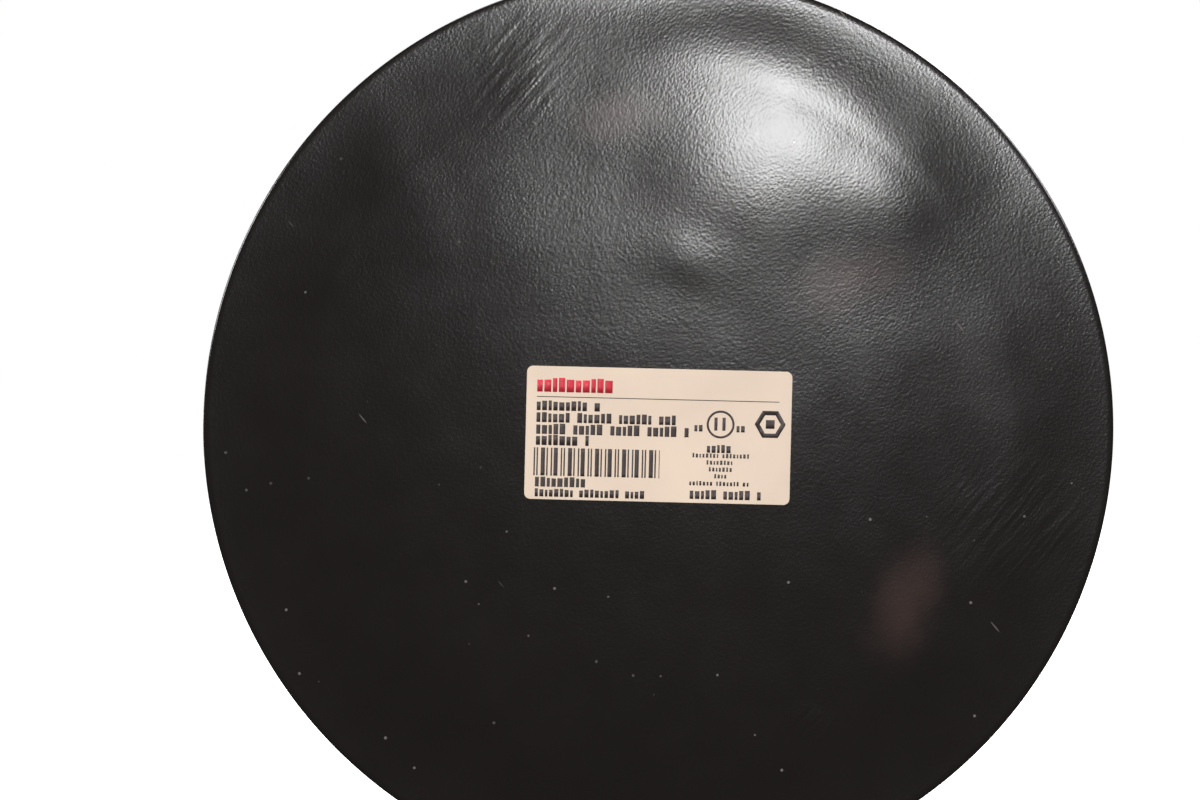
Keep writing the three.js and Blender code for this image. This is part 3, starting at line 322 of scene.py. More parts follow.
def fluted(blank: Solid, radius: float, depth: float, flutes: int, low: float, high: float) -> Solid:
    """A round blank with upright flutes cut round its edge.

    Args:
        blank: What the flutes are cut in.
        radius: Radius of the blank.
        depth: Depth of each flute.
        flutes: Their number.
        low: Lower end of the flutes.
        high: Upper end of the flutes.

    Returns:
        The fluted solid.
    """
    tools = Solid.bar(depth, low, high, 12).round_at(radius, places(flutes, 180.0 / flutes))
    return blank - Solid.group(tools)


@dataclass(frozen=True)
class Seat:
    """Where a frame node sits, in millimetres from the pad's outer face."""

    x: float
    y: float
    radius: float
    low: float
    high: float

    @classmethod
    @cache
    def of(cls, node: str) -> "Seat":
        """Reads the box of a frame node."""
        low, high = (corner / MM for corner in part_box(node))
        centre = (low + high) / 2
        half = max(high.x - low.x, high.z - low.z) / 2
        return cls(centre.x, centre.z, half, -high.y, -low.y)

    @property
    def circle(self) -> float:
        """Distance of the node's centre from the camera's axis."""
        return math.hypot(self.x, self.y)

    @property
    def angle(self) -> float:
        """Angle of the node's centre round the camera's axis, in degrees."""
        return math.degrees(math.atan2(self.y, self.x))


def joint(name: str) -> dict:
    """The record of one joint."""
    return next(j for j in frame["joints"] if j["name"] == name)


def lens_frame() -> Matrix:
    """Places the camera module: its origin is on the tilt axis and its +Z runs out of the lens."""
    pivot = -joint("tilt")["pos_m"][1] / MM
    _, y, z = joint("image_turn")["axis"]
    tilt = math.atan2(-z, -y)
    return Matrix.Translation((0, 0, pivot)) @ Matrix.Rotation(tilt, 4, "X")


# ---------------------------------------------------------------- shader maths


class Value:
    """A node's output socket. Arithmetic on it adds Math nodes."""

    def __init__(self, graph: "Graph", socket: bpy.types.NodeSocket) -> None:
        """Wraps a socket of a graph."""
        self.graph = graph
        self.socket = socket

    def maths(self, operation: str, first: "Value | float", second: "Value | float") -> "Value":
        """Adds a Math node.

        Args:
            operation: The node's operation.
            first: Its first input.
            second: Its second input.

        Returns:
            The result.
        """
        return self.graph.node("ShaderNodeMath", {"operation": operation}, {0: first, 1: second})

    def __add__(self, other: "Value | float") -> "Value":
        """Sum."""
        return self.maths("ADD", self, other)

    __radd__ = __add__

    def __sub__(self, other: "Value | float") -> "Value":
        """Difference."""
        return self.maths("SUBTRACT", self, other)

    def __rsub__(self, other: float) -> "Value":
        """Difference from a number."""
        return self.maths("SUBTRACT", other, self)

    def __mul__(self, other: "Value | float") -> "Value":
        """Product."""
        return self.maths("MULTIPLY", self, other)

    __rmul__ = __mul__

    def above(self, edge: float, soft: float = 0.05) -> "Value":
        """0 below an edge and 1 above it, with a soft step between."""
        settings = {"interpolation_type": "SMOOTHSTEP"}
        ends = {"Value": self, "From Min": edge - soft, "From Max": edge + soft}
        return self.graph.node("ShaderNodeMapRange", settings, ends)


Input = Value | float | tuple


class Graph:
    """A node tree being filled."""

    def __init__(self, tree: bpy.types.NodeTree) -> None:
        """Empties the tree and keeps it."""
        self.tree = tree
        tree.nodes.clear()

    def node(
        self,
        kind: str,
        settings: dict | None = None,
        values: dict | None = None,
        output: int | str = 0,
    ) -> Value:
        """Adds a node.

        Args:
            kind: The node's type.
            settings: Its own properties, set first.
            values: Numbers, colours or links of its input sockets, by name or number.
            output: The output to return, by name or number.

        Returns:
            The chosen output.
        """
        made = self.tree.nodes.new(kind)
        for name, setting in (settings or {}).items():
            setattr(made, name, setting)
        for name, value in (values or {}).items():
            if isinstance(value, Value):
                self.tree.links.new(value.socket, made.inputs[name])
            else:
                made.inputs[name].default_value = value
        return Value(self, made.outputs[output]) if made.outputs else Value(self, made.inputs[0])

    def place(self) -> Value:
        """Position on the piece, in metres."""
        return self.node("ShaderNodeTexCoord", output="Object")

    def stretched(self, scale: Colour, turn: Colour = (0.0, 0.0, 0.0)) -> Value:
        """Position turned, in degrees, and then scaled along each axis."""
        angles = tuple(math.radians(a) for a in turn)
        turned = self.node("ShaderNodeMapping", None, {"Vector": self.place(), "Rotation": angles})
        return self.node("ShaderNodeVectorMath", {"operation": "MULTIPLY"}, {0: turned, 1: scale})

    def grain(self, size: float, detail: float = 2.0, at: Value | None = None) -> Value:
        """Noise from 0 to 1, with lumps of a size in millimetres."""
        values = {"Vector": at or self.place(), "Scale": 0.5 / (size * MM), "Detail": detail}
        return self.node("ShaderNodeTexNoise", None, values)

    def cells(
        self,
        size: float,
        feature: str = "F1",
        output: str = "Distance",
        at: Value | None = None,
    ) -> Value:
        """Cell pattern.

        Args:
            size: Size of a cell, in millimetres.
            feature: What is measured in each cell.
            output: The output to return.
            at: The position, if not the place on the piece.

        Returns:
            The chosen output.
        """
        values = {"Vector": at or self.place(), "Scale": 1.0 / (size * MM)}
        return self.node("ShaderNodeTexVoronoi", {"feature": feature}, values, output)

    def mix(self, factor: Input, first: Input, second: Input) -> Value:
        """Mixes two colours."""
        colours = [(*c, 1.0) if isinstance(c, tuple) else c for c in (first, second)]
        values = {0: factor, 6: colours[0], 7: colours[1]}
        return self.node("ShaderNodeMix", {"data_type": "RGBA"}, values, 2)

    def spot(self, x: float, z: float, width: float, height: float, turn: float) -> Value:
        """A soft patch on a wall face: 1 in its middle and 0 outside.

        Args:
            x: Centre along X, in millimetres.
            z: Centre along Z, in millimetres.
            width: Half width, in millimetres.
            height: Half height, in millimetres.
            turn: Turn about Y, in degrees.

        Returns:
            The patch.
        """
        values = {"Vector": self.place(), "Scale": 130.0, "Detail": 3.0}
        wander = self.node("ShaderNodeTexNoise", None, values, "Color")
        scale = {0: wander, "Scale": 2 * RAGGED * MM}
        shift = self.node("ShaderNodeVectorMath", {"operation": "SCALE"}, scale)
        at = self.node("ShaderNodeVectorMath", {"operation": "ADD"}, {0: self.place(), 1: shift})
        centre = ((x + RAGGED) * MM, 0.0, (z + RAGGED) * MM)
        patch = {"Vector": at, "Location": centre, "Rotation": (0.0, math.radians(turn), 0.0)}
        patch["Scale"] = (width * MM, ANY_DEPTH, height * MM)
        local = self.node("ShaderNodeMapping", {"vector_type": "TEXTURE"}, patch)
        distance = self.node("ShaderNodeVectorMath", {"operation": "LENGTH"}, {0: local}, "Value")
        return 1.0 - distance.above(0.6, 0.6)

    def bump(self, height: Value, depth: float, strength: float = 1.0, under: Value | None = None) -> Value:
        """A normal from a height, whose full range is a depth in millimetres."""
        values: dict = {"Height": height, "Distance": depth * MM, "Strength": strength}
        if under:
            values["Normal"] = under
        return self.node("ShaderNodeBump", None, values)

    def skin(self, values: dict) -> Value:
        """Adds the surface shader."""
        return self.node("ShaderNodeBsdfPrincipled", None, values)

    def finish(self, surface: Value) -> None:
        """Links the shader to the material's output."""
        self.node("ShaderNodeOutputMaterial", None, {"Surface": surface})


# ---------------------------------------------------------------- finishes


@dataclass(frozen=True)
class Finish:
    """A plain moulded or cast surface: grain, mottled gloss and slight changes of colour."""

    name: str
    slot: str
    colour: Colour
    roughness: float = 0.5
    metallic: float = 0.0
    grain: float = 0.4
    depth: float = 0.02
    mottle: float = 0.08
    patch: float = 14.0

    def material(self) -> bpy.types.Material:
        """The finish's material, made once."""
        found = bpy.data.materials.get(self.name)
        if found:
            return found
        made = bpy.data.materials.new(self.name)
        made.use_nodes = True
        made.diffuse_color = (*self.colour, 1.0)
        graph = Graph(made.node_tree)
        graph.finish(self.surface(graph))
        return made

    def paler(self, share: float) -> Colour:
        """The finish's colour made paler by a share."""
        return tuple(min(1.0, c * (1.0 + share)) for c in self.colour)

    def mottled(self, pattern: Value) -> Value:
        """Roughness that a pattern from 0 to 1 spreads about the finish's own."""
        return pattern * (2 * self.mottle) + (self.roughness - self.mottle)

    def surface(self, graph: Graph) -> Value:
        """Builds the surface shader.

        Args:
            graph: The graph to fill.

        Returns:
            The shader.
        """
        patches = graph.grain(self.patch, 3.0)
        fine = graph.grain(self.grain, 2.0)
        values = {
            "Base Color": graph.mix(patches, self.colour, self.paler(0.35)),
            "Roughness": self.mottled(patches),
            "Metallic": self.metallic,
            "Normal": graph.bump(fine, self.depth),
        }
        return graph.skin(values)


@dataclass(frozen=True)
class PowderCoat(Finish):
    """Textured paint: rounded pimples under a thin gloss, with a little dust."""

    def surface(self, graph: Graph) -> Value:
        """Builds the surface shader on the graph and returns it."""
        patches = graph.grain(self.patch, 3.0)
        pimples = graph.cells(self.grain, "SMOOTH_F1")
        lumps = graph.grain(self.grain * 2.2, 2.0)
        dust = graph.cells(5.0).above(0.06, 0.015)
        tone = graph.mix(patches, self.colour, self.paler(0.3))
        values = {
            "Base Color": graph.mix(dust, self.paler(4.0), tone),
            "Roughness": self.mottled(patches),
            "Coat Weight": 0.25,
            "Coat Roughness": 0.3,
            "Normal": graph.bump(lumps, self.depth, 0.7, graph.bump(pimples, self.depth * 1.6)),
        }
        return graph.skin(values)


@dataclass(frozen=True)
class Metal(Finish):
    """Bare or plated metal with fine drawn lines, crystal patches and dull marks."""

    drawn: Colour = (1.0, 1.0, 0.06)
    tint: Colour = (0.5, 0.5, 0.5)

    def surface(self, graph: Graph) -> Value:
        """Builds the surface shader on the graph and returns it."""
        lines = graph.grain(self.grain, 3.0, graph.stretched(self.drawn))
        crystals = graph.cells(2.4, "F1", "Color")
        spread = graph.node("ShaderNodeSeparateColor", None, {"Color": crystals})
        marks = graph.grain(self.patch, 4.0)
        values = {
            "Base Color": graph.mix(spread * 0.5, self.colour, self.tint),
            "Roughness": self.mottled(marks) + spread * 0.06,
            "Metallic": 1.0,
            "Normal": graph.bump(lines, self.depth),
        }
        return graph.skin(values)


@dataclass(frozen=True)
class CircuitBoard(Finish):
    """Solder mask over copper tracks, with tinned pads."""

    def surface(self, graph: Graph) -> Value:
        """Builds the surface shader on the graph and returns it."""
        values = {"Vector": graph.place(), "Scale": 420.0, "Randomness": 0.75}
        edge = graph.node("ShaderNodeTexVoronoi", {"feature": "DISTANCE_TO_EDGE"}, values)
        tracks = 1.0 - edge.above(0.09, 0.02)
        pads = 1.0 - graph.cells(2.9).above(0.17, 0.02)
        mask = graph.mix(tracks, self.colour, self.paler(0.9))
        values = {
            "Base Color": graph.mix(pads, mask, (0.6, 0.58, 0.52)),
            "Roughness": 0.42 - pads * 0.15,
            "Metallic": pads * 0.9,
            "Normal": graph.bump(tracks + pads, 0.04),
        }
        return graph.skin(values)


@dataclass(frozen=True)
class Polished(Finish):
    """A polished, coated surface with a few dull smears."""

    def polish(self, graph: Graph, colour: Value, smears: Value) -> Value:
        """Builds the shiny shader.

        Args:
            graph: The graph to fill.
            colour: Colour of the surface.
            smears: Where it is dull, from 0 to 1.

        Returns:
            The shader.
        """
        values = {
            "Base Color": colour,
            "Roughness": smears * self.mottle + self.roughness,
            "Coat Weight": 1.0,
            "Coat Roughness": self.roughness,
            "Metallic": self.metallic,
        }
        return graph.skin(values)

    @staticmethod
    def slant(graph: Graph, blend: float) -> Value:
        """0 where the surface is seen square on, and 1 at a slant."""
        return graph.node("ShaderNodeLayerWeight", None, {"Blend": blend}, "Facing")


@dataclass(frozen=True)
class Clear(Polished):
    """Clear moulding or glass: seen through square on, and shiny at a slant, with faint wiping marks. Towards
    its rim it passes a greyer colour: painted shade for the dark rim of a clear dome.
    """

    ior: float = 1.58
    passes: Colour = (0.94, 0.94, 0.94)
    # greyer colour passed at a slant: painted shade at the rim
    painted_rim_shade: Colour = (0.42, 0.44, 0.45)

    def surface(self, graph: Graph) -> Value:
        """Builds the surface shader on the graph and returns it."""
        marks = graph.grain(self.patch, 5.0, graph.stretched((1.0, 1.0, 3.0), (20.0, 35.0, 0.0)))
        shine = self.polish(graph, graph.mix(marks, self.colour, self.paler(0.3)), marks.above(0.62, 0.12))
        thin, shaded_rim = (
            graph.node("ShaderNodeBsdfTransparent", None, {"Color": (*colour, 1.0)})
            for colour in (self.passes, self.painted_rim_shade)
        )
        # the see-through colour turns greyer at a slant: painted shade at the rim
        slant = self.slant(graph, 0.5)
        edge = slant * slant * slant
        clear = graph.node("ShaderNodeMixShader", None, {0: edge, 1: thin, 2: shaded_rim})
        least = ((self.ior - 1.0) / (self.ior + 1.0)) ** 2
        share = edge * slant * slant * (1.0 - least) + least
        return graph.node("ShaderNodeMixShader", None, {0: share, 1: clear, 2: shine})


@dataclass(frozen=True)
class CoatedGlass(Polished):
    """Lens glass whose coating glints violet square on and green at a slant."""

    glint: Colour = (0.02, 0.10, 0.06)

    def surface(self, graph: Graph) -> Value:
        """Builds the surface shader on the graph and returns it."""
        colour = graph.mix(self.slant(graph, 0.4), self.colour, self.glint)
        return self.polish(graph, colour, graph.grain(self.patch, 4.0).above(0.6, 0.15))


@dataclass(frozen=True)
class PadSkin(Finish):
    """Leather-like skin of the foam pad: fine grain, brownish patches, creases, dust and short scratches."""

    brownish: Colour = (0.08, 0.042, 0.036)
    dust: Colour = (0.34, 0.31, 0.29)
    brownish_patches: tuple[Patch, ...] = ((6, 50, 9, 5, 10), (-31, 24, 11, 6, 20), (-40, -28, 6, 11, -20))
    dull_marks: tuple[Patch, ...] = ((-40, 51, 6, 7, 0), (14, 60, 12, 7, 0), (-52, 8, 8, 16, 20))
    creases: tuple[Patch, ...] = ((22, 58, 10, 12, -35), (-58, -16, 15, 13, -30), (-25, -48, 7, 4, 0))

    def surface(self, graph: Graph) -> Value:
        """Builds the surface shader on the graph and returns it."""
        brown = self.together(graph, self.brownish_patches)
        dull = self.together(graph, self.dull_marks)
        creased = self.together(graph, self.creases)
        flecks = (1.0 - graph.cells(4.6).above(0.05, 0.012)) * graph.grain(30.0).above(0.5, 0.1)
        along = graph.stretched((0.25, 1.0, 2.2), (0.0, 50.0, 0.0))
        lint = 1.0 - graph.cells(9.0, at=along).above(0.03, 0.008)
        tone = graph.mix(graph.grain(9.0, 4.0), self.colour, self.paler(0.5))
        # brown tint mixed into the colour over the brownish patches
        marked = graph.mix(brown * 0.4, tone, self.brownish)
        specks = (flecks + lint * 0.6) * 0.5
        values = {
            "Base Color": graph.mix(specks, marked, self.dust),
            "Roughness": self.gloss(graph, brown, dull),
            "Normal": self.relief(graph, creased),
        }
        return graph.skin(values)

    @staticmethod
    def together(graph: Graph, patches: tuple[Patch, ...]) -> Value:
        """Adds soft patches.

        Args:
            graph: The graph to fill.
            patches: The x, z, half width, half height and turn of each.

        Returns:
            Their sum.
        """
        total = graph.spot(*patches[0])
        for patch in patches[1:]:
            total = total + graph.spot(*patch)
        return total

    def gloss(self, graph: Graph, brown: Value, dull: Value) -> Value:
        """Roughness: duller in the brownish patches, and mottled elsewhere."""
        return self.mottled(graph.grain(3.0, 4.0)) + brown * 0.025 + dull * 0.03

    def relief(self, graph: Graph, creased: Value) -> Value:
        """Normal: pebbled grain, with fine creases in the creased patches."""
        leaning = graph.stretched((1.0, 1.0, 0.8), (0.0, 35.0, 0.0))
        pebbles = graph.cells(self.grain, "SMOOTH_F1", at=leaning)
        pores = graph.grain(self.grain * 0.5, 2.0)
        folds = graph.grain(1.0, 2.0, graph.stretched((0.16, 1.0, 1.3), (0.0, -50.0, 0.0)))
        grain = graph.bump(pebbles + pores * 0.6, self.depth)
        return graph.bump(folds * creased, 0.055, 1.0, grain)


POWDER = PowderCoat("powder_coat", "painted_metal", (0.026, 0.026, 0.029), 0.46, grain=0.55, depth=0.045)
PAD = PadSkin(
    "pad_skin", "pad_rubber", (0.0085, 0.0066, 0.0062), 0.15, grain=0.38, depth=0.0075, mottle=0.025
)
RUBBER = Finish("seal_rubber_skin", "seal_rubber", (0.011, 0.011, 0.011), 0.7, grain=0.3, depth=0.015)
BLACK = Finish("spark_eroded_black", "black_plastic", (0.014, 0.014, 0.015), 0.44, grain=0.28, depth=0.022)
SATIN_BLACK = Finish("lens_black", "black_plastic", (0.010, 0.010, 0.011), 0.3, grain=0.2, depth=0.006)
GREY = Finish("satin_grey", "grey_plastic", (0.10, 0.105, 0.11), 0.48, grain=0.3, depth=0.02)
EPOXY = Finish("moulded_epoxy", "chip_black", (0.014, 0.014, 0.016), 0.5, grain=0.2, depth=0.015)
GREEN = Finish("moulded_green", "terminal_green", (0.03, 0.24, 0.09), 0.4, grain=0.3, depth=0.012)
NYLON = Finish("natural_nylon", "nylon", (0.74, 0.71, 0.62), 0.42, grain=0.35, depth=0.015, patch=6.0)
STEEL = Metal("stainless", "steel", (0.56, 0.57, 0.58), 0.26, grain=0.25, depth=0.006, tint=(0.62, 0.61, 0.6))
ZINC = Metal("zinc_plate", "zinc", (0.43, 0.45, 0.48), 0.36, grain=0.3, depth=0.008, tint=(0.56, 0.55, 0.5))
BOARD = CircuitBoard("solder_mask", "circuit_board", (0.012, 0.095, 0.034), 0.42)
BUBBLE = Clear("clear_polycarbonate", "clear_bubble", (0.03, 0.03, 0.032), 0.025, mottle=0.05, patch=22.0)
FRONT_GLASS = Clear("front_glass", "lens_glass", (0.01, 0.012, 0.03), 0.012, mottle=0.02, ior=1.62)
COATING = CoatedGlass("coated_glass", "lens_glass", (0.11, 0.045, 0.25), 0.02, 0.35, mottle=0.03)
LABEL = Finish("label_face", "label_stock", (0.75, 0.60, 0.475), 0.45, grain=0.25, depth=0.006, patch=7.0)
DARK_INK = Finish("dark_ink", "label_stock", (0.045, 0.032, 0.03), 0.5, grain=0.2, depth=0.002, patch=2.0)
RED_INK = Finish("red_ink", "label_stock", (0.62, 0.028, 0.05), 0.45, grain=0.2, depth=0.002, patch=2.0)
FLOOR = Finish("pale_floor", "", (0.86, 0.86, 0.86), 0.6, grain=3.0, depth=0.02, patch=200.0)


# ---------------------------------------------------------------- sub-assemblies


@dataclass
class Assembly:
    """A sub-assembly: pieces that are made here, and frame nodes that keep their shape."""

    body: str = "base"
    made: list[str] = field(default_factory=list)

    def build(self) -> None:
        """Makes and dresses the pieces."""
        raise NotImplementedError

    def add(
        self,
        name: str,
        solid: Solid,
        finish: Finish,
        replaces: tuple[str, ...] = (),
        body: str | None = None,
        at: Matrix | None = None,
        bevel: float = 0.25,
    ) -> bpy.types.Object:
        """Hangs a solid on the wall as a piece of the camera.

        Args:
            name: The piece's name.
            solid: Its shape, in millimetres.
            finish: Its finish.
            replaces: The frame nodes that it stands for.
            body: The body it rides on, if not the assembly's own.
            at: A matrix that places it on the camera first.
            bevel: Width of the bevel on its sharp edges, in millimetres.

        Returns:
            The piece.
        """
        mesh = solid.mesh
        mesh.transform(Matrix.Scale(MM, 4) @ HANGING @ (at or Matrix.Identity(4)))
        piece = bpy.data.objects.new(name, mesh)
        bpy.context.scene.collection.objects.link(piece)
        mesh.materials.clear()
        mesh.materials.append(finish.material())
        self.soften(piece, bevel)
        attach(piece, body or self.body)
        if replaces:
            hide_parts(*replaces)
        self.made.append(name)
        log.info("%s rides on %s", name, body or self.body)
        return piece

    def keep(self, node: str, finish: Finish, bevel: float = 0.2) -> None:
        """Gives a frame node its finish and soft edges, with its shape as it is."""
        piece = frame["nodes"][node]
        piece.data.materials.clear()
        piece.data.materials.append(finish.material())
        weld = piece.modifiers.new("weld", "WELD")
        weld.merge_threshold = 0.002 * MM
        self.soften(piece, bevel)
        self.made.append(node)
        log.info("%s keeps its frame shape", node)

    @staticmethod
    def soften(piece: bpy.types.Object, bevel: float) -> None:
        """Shades a piece smooth and bevels its sharp edges by a width in millimetres."""
        for face in piece.data.polygons:
            face.use_smooth = True
        if bevel:
            edge = piece.modifiers.new("edges", "BEVEL")
            edge.width = bevel * MM
            edge.segments = 2
            edge.limit_method = "ANGLE"
            edge.angle_limit = math.radians(ANGLE)
            edge.harden_normals = True


@dataclass(frozen=True)
class Swell:
    """A soft hill or dent in the pad's face: centre, half widths, turn in degrees, and height."""

    x: float
    z: float
    width: float
    height: float
    rise: float
    turn: float = 0.0

    def at(self, x: float, z: float) -> float:
        """Rise at a point of the face."""
        angle = math.radians(self.turn)
        across = (x - self.x) * math.cos(angle) + (z - self.z) * math.sin(angle)
        along = (z - self.z) * math.cos(angle) - (x - self.x) * math.sin(angle)
        return self.rise * math.exp(-((across / self.width) ** 2) - (along / self.height) ** 2)


@dataclass
class PadAndLabel(Assembly):
    """Foam rubber pad with its wavy skin, and the rating label stuck on it."""

    crown: float = 0.25
    edge: float = 0.4
    rings: int = 96
    sides: int = 480
    ripple: float = 0.022
    label_width: float = 42.8
    label_height: float = 21.5
    label_corner: float = 1.0
    label_turn: float = 1.4
    label_proud: float = 0.1
    label_skin: float = 0.2
    ink: float = 0.02
    swells: tuple[Swell, ...] = (
        Swell(-20, 46, 27, 21, 0.66, 15),
        Swell(-5, 27, 6, 4, 0.055, 10),
        Swell(8, 40, 14, 9, -0.10, -10),
        Swell(-39, 38, 9, 8, 0.13, 30),
        Swell(-32, 25, 12, 7, -0.05, 20),
        Swell(-16, 63, 18, 8, 0.07),
        Swell(43, 41, 6, 9, 0.07, -25),
        Swell(-64, 18, 9, 20, 0.08, -15),
        Swell(-50, -2, 10, 14, -0.07, 10),
        Swell(-50, -42, 12, 18, 0.10, 30),
        Swell(30, -40, 30, 20, 0.08, 20),
        Swell(0, -30, 30, 9, -0.05, 5),
    )

    def face(self, x: float, z: float) -> float:
        """How far the pad's face stands out at a point, in millimetres."""
        radius = Seat.of("mounting_pad").radius
        dome = self.crown * (1.0 - (x * x + z * z) / radius**2)
        waves = noise.noise(Vector((x / 11.0, z / 11.0, 0.3))) * self.ripple
        return dome - self.crown + waves + sum(swell.at(x, z) for swell in self.swells)

    def build(self) -> None:
        """Makes the pad, the label and its print."""
        self.build_pad()
        self.build_label()

    def build_pad(self) -> None:
        """Makes the pad as a dense disc with a rolled edge, and lifts its face by the swells."""
        seat = Seat.of("mounting_pad")
        flat = seat.radius - self.edge
        outer = [(flat * i / self.rings, seat.low) for i in range(self.rings)]
        roll = arc((flat, seat.low + self.edge), self.edge, self.edge, -90, 0, 5)
        back = arc((flat, seat.high - self.edge), self.edge, self.edge, 0, 90, 5)
        inner = [(flat * i / 8, seat.high) for i in range(7, -1, -1)]
        pad = Solid.turned([*outer, *roll, *back, *inner], self.sides)
        for vertex in pad.mesh.vertices:
            x, y, z = vertex.co
            share = 1.0 - min(1.0, (z - seat.low) / (seat.high - seat.low))
            rim = min(1.0, (seat.radius - math.hypot(x, y)) / 16.0)
            vertex.co.z = z - share * rim * (3 - 2 * rim) * self.face(x, y)
        piece = self.add("foam_pad", pad, PAD, ("mounting_pad",), bevel=0)

    def laid(self, flat: Solid, height: float) -> Solid:
        """Bends a flat solid over the label's place on the pad.

        Args:
            flat: The solid, about the label's centre, with its lower face towards the pad at z = 0.
            height: How far its face stands from the pad.

        Returns:
            The bent solid.
        """
        seat = Seat.of("rating_label")
        shape = bmesh.new()
        shape.from_mesh(flat.mesh)
        for axis, reach in ((0, self.label_width / 2), (1, self.label_height / 2)):
            steps = int(reach)
            for i in range(1 - steps, steps):
                point = [0.0, 0.0, 0.0]
                point[axis] = i * reach / steps
                normal = [0.0, 0.0, 0.0]
                normal[axis] = 1.0
                everything = [*shape.verts, *shape.edges, *shape.faces]
                bmesh.ops.bisect_plane(
                    shape, geom=everything, dist=SPLIT, plane_co=point, plane_no=normal
                )
        bent = Solid.from_bmesh(shape).spun(self.label_turn).moved(seat.x, seat.y)
        for vertex in bent.mesh.vertices:
            vertex.co.z -= self.face(vertex.co.x, vertex.co.y) + height
        return bent

    def build_label(self) -> None:
        """Makes the label and its generic print: plain blocks, bars and rings, and no lettering."""
        outline = rounded_rectangle(self.label_width, self.label_height, self.label_corner)
        label = self.laid(Solid.plate(outline, 0, self.label_skin), self.label_proud)
        self.add("printed_label", label, LABEL, ("rating_label",), bevel=0.04)
        printed = LabelPrint(-self.ink, self.ink)
        dark = self.laid(Solid.group(printed.dark()), self.label_proud)
        self.add("label_print", dark, DARK_INK, bevel=0)
        heading = self.laid(Solid.group(printed.heading()), self.label_proud)
        self.add("label_heading", heading, RED_INK, bevel=0)


@dataclass(frozen=True)
class LabelPrint:
    """Marks on the label, as thin solids between two heights. +X is to the label's left on the wall."""

    low: float
    high: float
    gap: float = 0.26

    def mark(self, left: float, right: float, bottom: float, top: float) -> Solid:
        """A block, with its sides measured to the reader's right."""
        return Solid.block((-right, -left), (bottom, top), (self.low, self.high))

    def row(self, left: float, right: float, bottom: float, top: float, words: int = 3) -> list[Solid]:
        """A row of blocks in place of letters, with gaps in place of spaces.

        Args:
            left: Start of the row.
            right: End of the row.
            bottom: Lower edge.
            top: Upper edge.
            words: Blocks between two of the wider gaps, at least.

        Returns:
            The blocks.
        """
        height = top - bottom
        pitch = height * 0.62
        blocks = []
        x = left
        count = 0
        while x + pitch < right:
            wide = pitch * (0.62, 0.78, 0.5, 0.7, 0.84)[count % 5]
            tall = height * (1.0, 0.86, 0.88, 0.97, 0.84)[(count * 2 + words) % 5]
            blocks.append(self.mark(x, x + wide, bottom, bottom + tall))
            x += wide + self.gap
            count += 1
            if count % (words + 3) == 0:
                x += pitch
        return blocks

    def barcode(self, left: float, right: float, bottom: float, top: float) -> list[Solid]:
        """Upright bars of changing widths."""
        bars = []
        x = left
        count = 0
        while x < right:
            width = 0.22 * (1 + (count * count + 2 * count) % 3)
            bars.append(self.mark(x, min(x + width, right), bottom, top))
            x += width + 0.24 * (1 + (count * 5) % 2)
            count += 1
        return bars

    def hoop(self, x: float, y: float, radius: float, line: float, sides: int) -> Solid:
        """A thin ring or polygon."""
        return Solid.ring(radius - line, radius, self.low, self.high, sides).moved(-x, y)

    def heading(self) -> list[Solid]:
        """Wide red blocks of the heading."""
        return self.row(-19.7, -5.9, 6.6, 8.9, 9)

    def dark(self) -> list[Solid]:
        """Everything that is printed dark."""
        marks = [self.mark(-19.7, 19.4, 5.76, 5.88)]
        marks += self.row(-19.7, -8.8, 3.6, 5.2, 6) + self.row(-19.7, 3.2, 1.7, 3.3, 3)
        marks += self.row(-19.7, 5.8, -0.2, 1.5, 2) + self.row(-19.7, -10.6, -2.0, -0.3, 4)
        marks += self.barcode(-20.0, 0.3, -6.9, -2.4)
        marks += self.row(-19.7, -10.7, -8.7, -7.1, 8) + self.row(-19.7, -1.3, -10.3, -9.0, 5)
        marks += [self.hoop(10.0, 2.0, 2.25, 0.34, SMALL), self.hoop(18.0, 2.2, 2.5, 0.8, 6)]
        marks += [self.mark(left, left + 0.5, 1.0, 3.1) for left in (9.0, 10.3)]
        marks.append(self.mark(17.3, 18.7, 1.5, 2.9))
        marks += self.row(5.8, 7.4, 0.8, 2.0, 9) + self.row(12.6, 14.6, 0.8, 2.0, 9)
        marks += self.row(7.9, 12.4, -2.6, -1.3, 9)
        small = ((5.6, 14.9, -3.4), (7.9, 12.6, -4.5), (8.3, 12.2, -5.6), (9.2, 11.4, -6.7))
        for left, right, bottom in small:
            marks += self.row(left, right, bottom, bottom + 0.7, 5)
        marks += self.row(5.2, 15.2, -7.9, -7.2, 4) + self.row(5.3, 17.3, -10.1, -8.6, 2)
        return marks


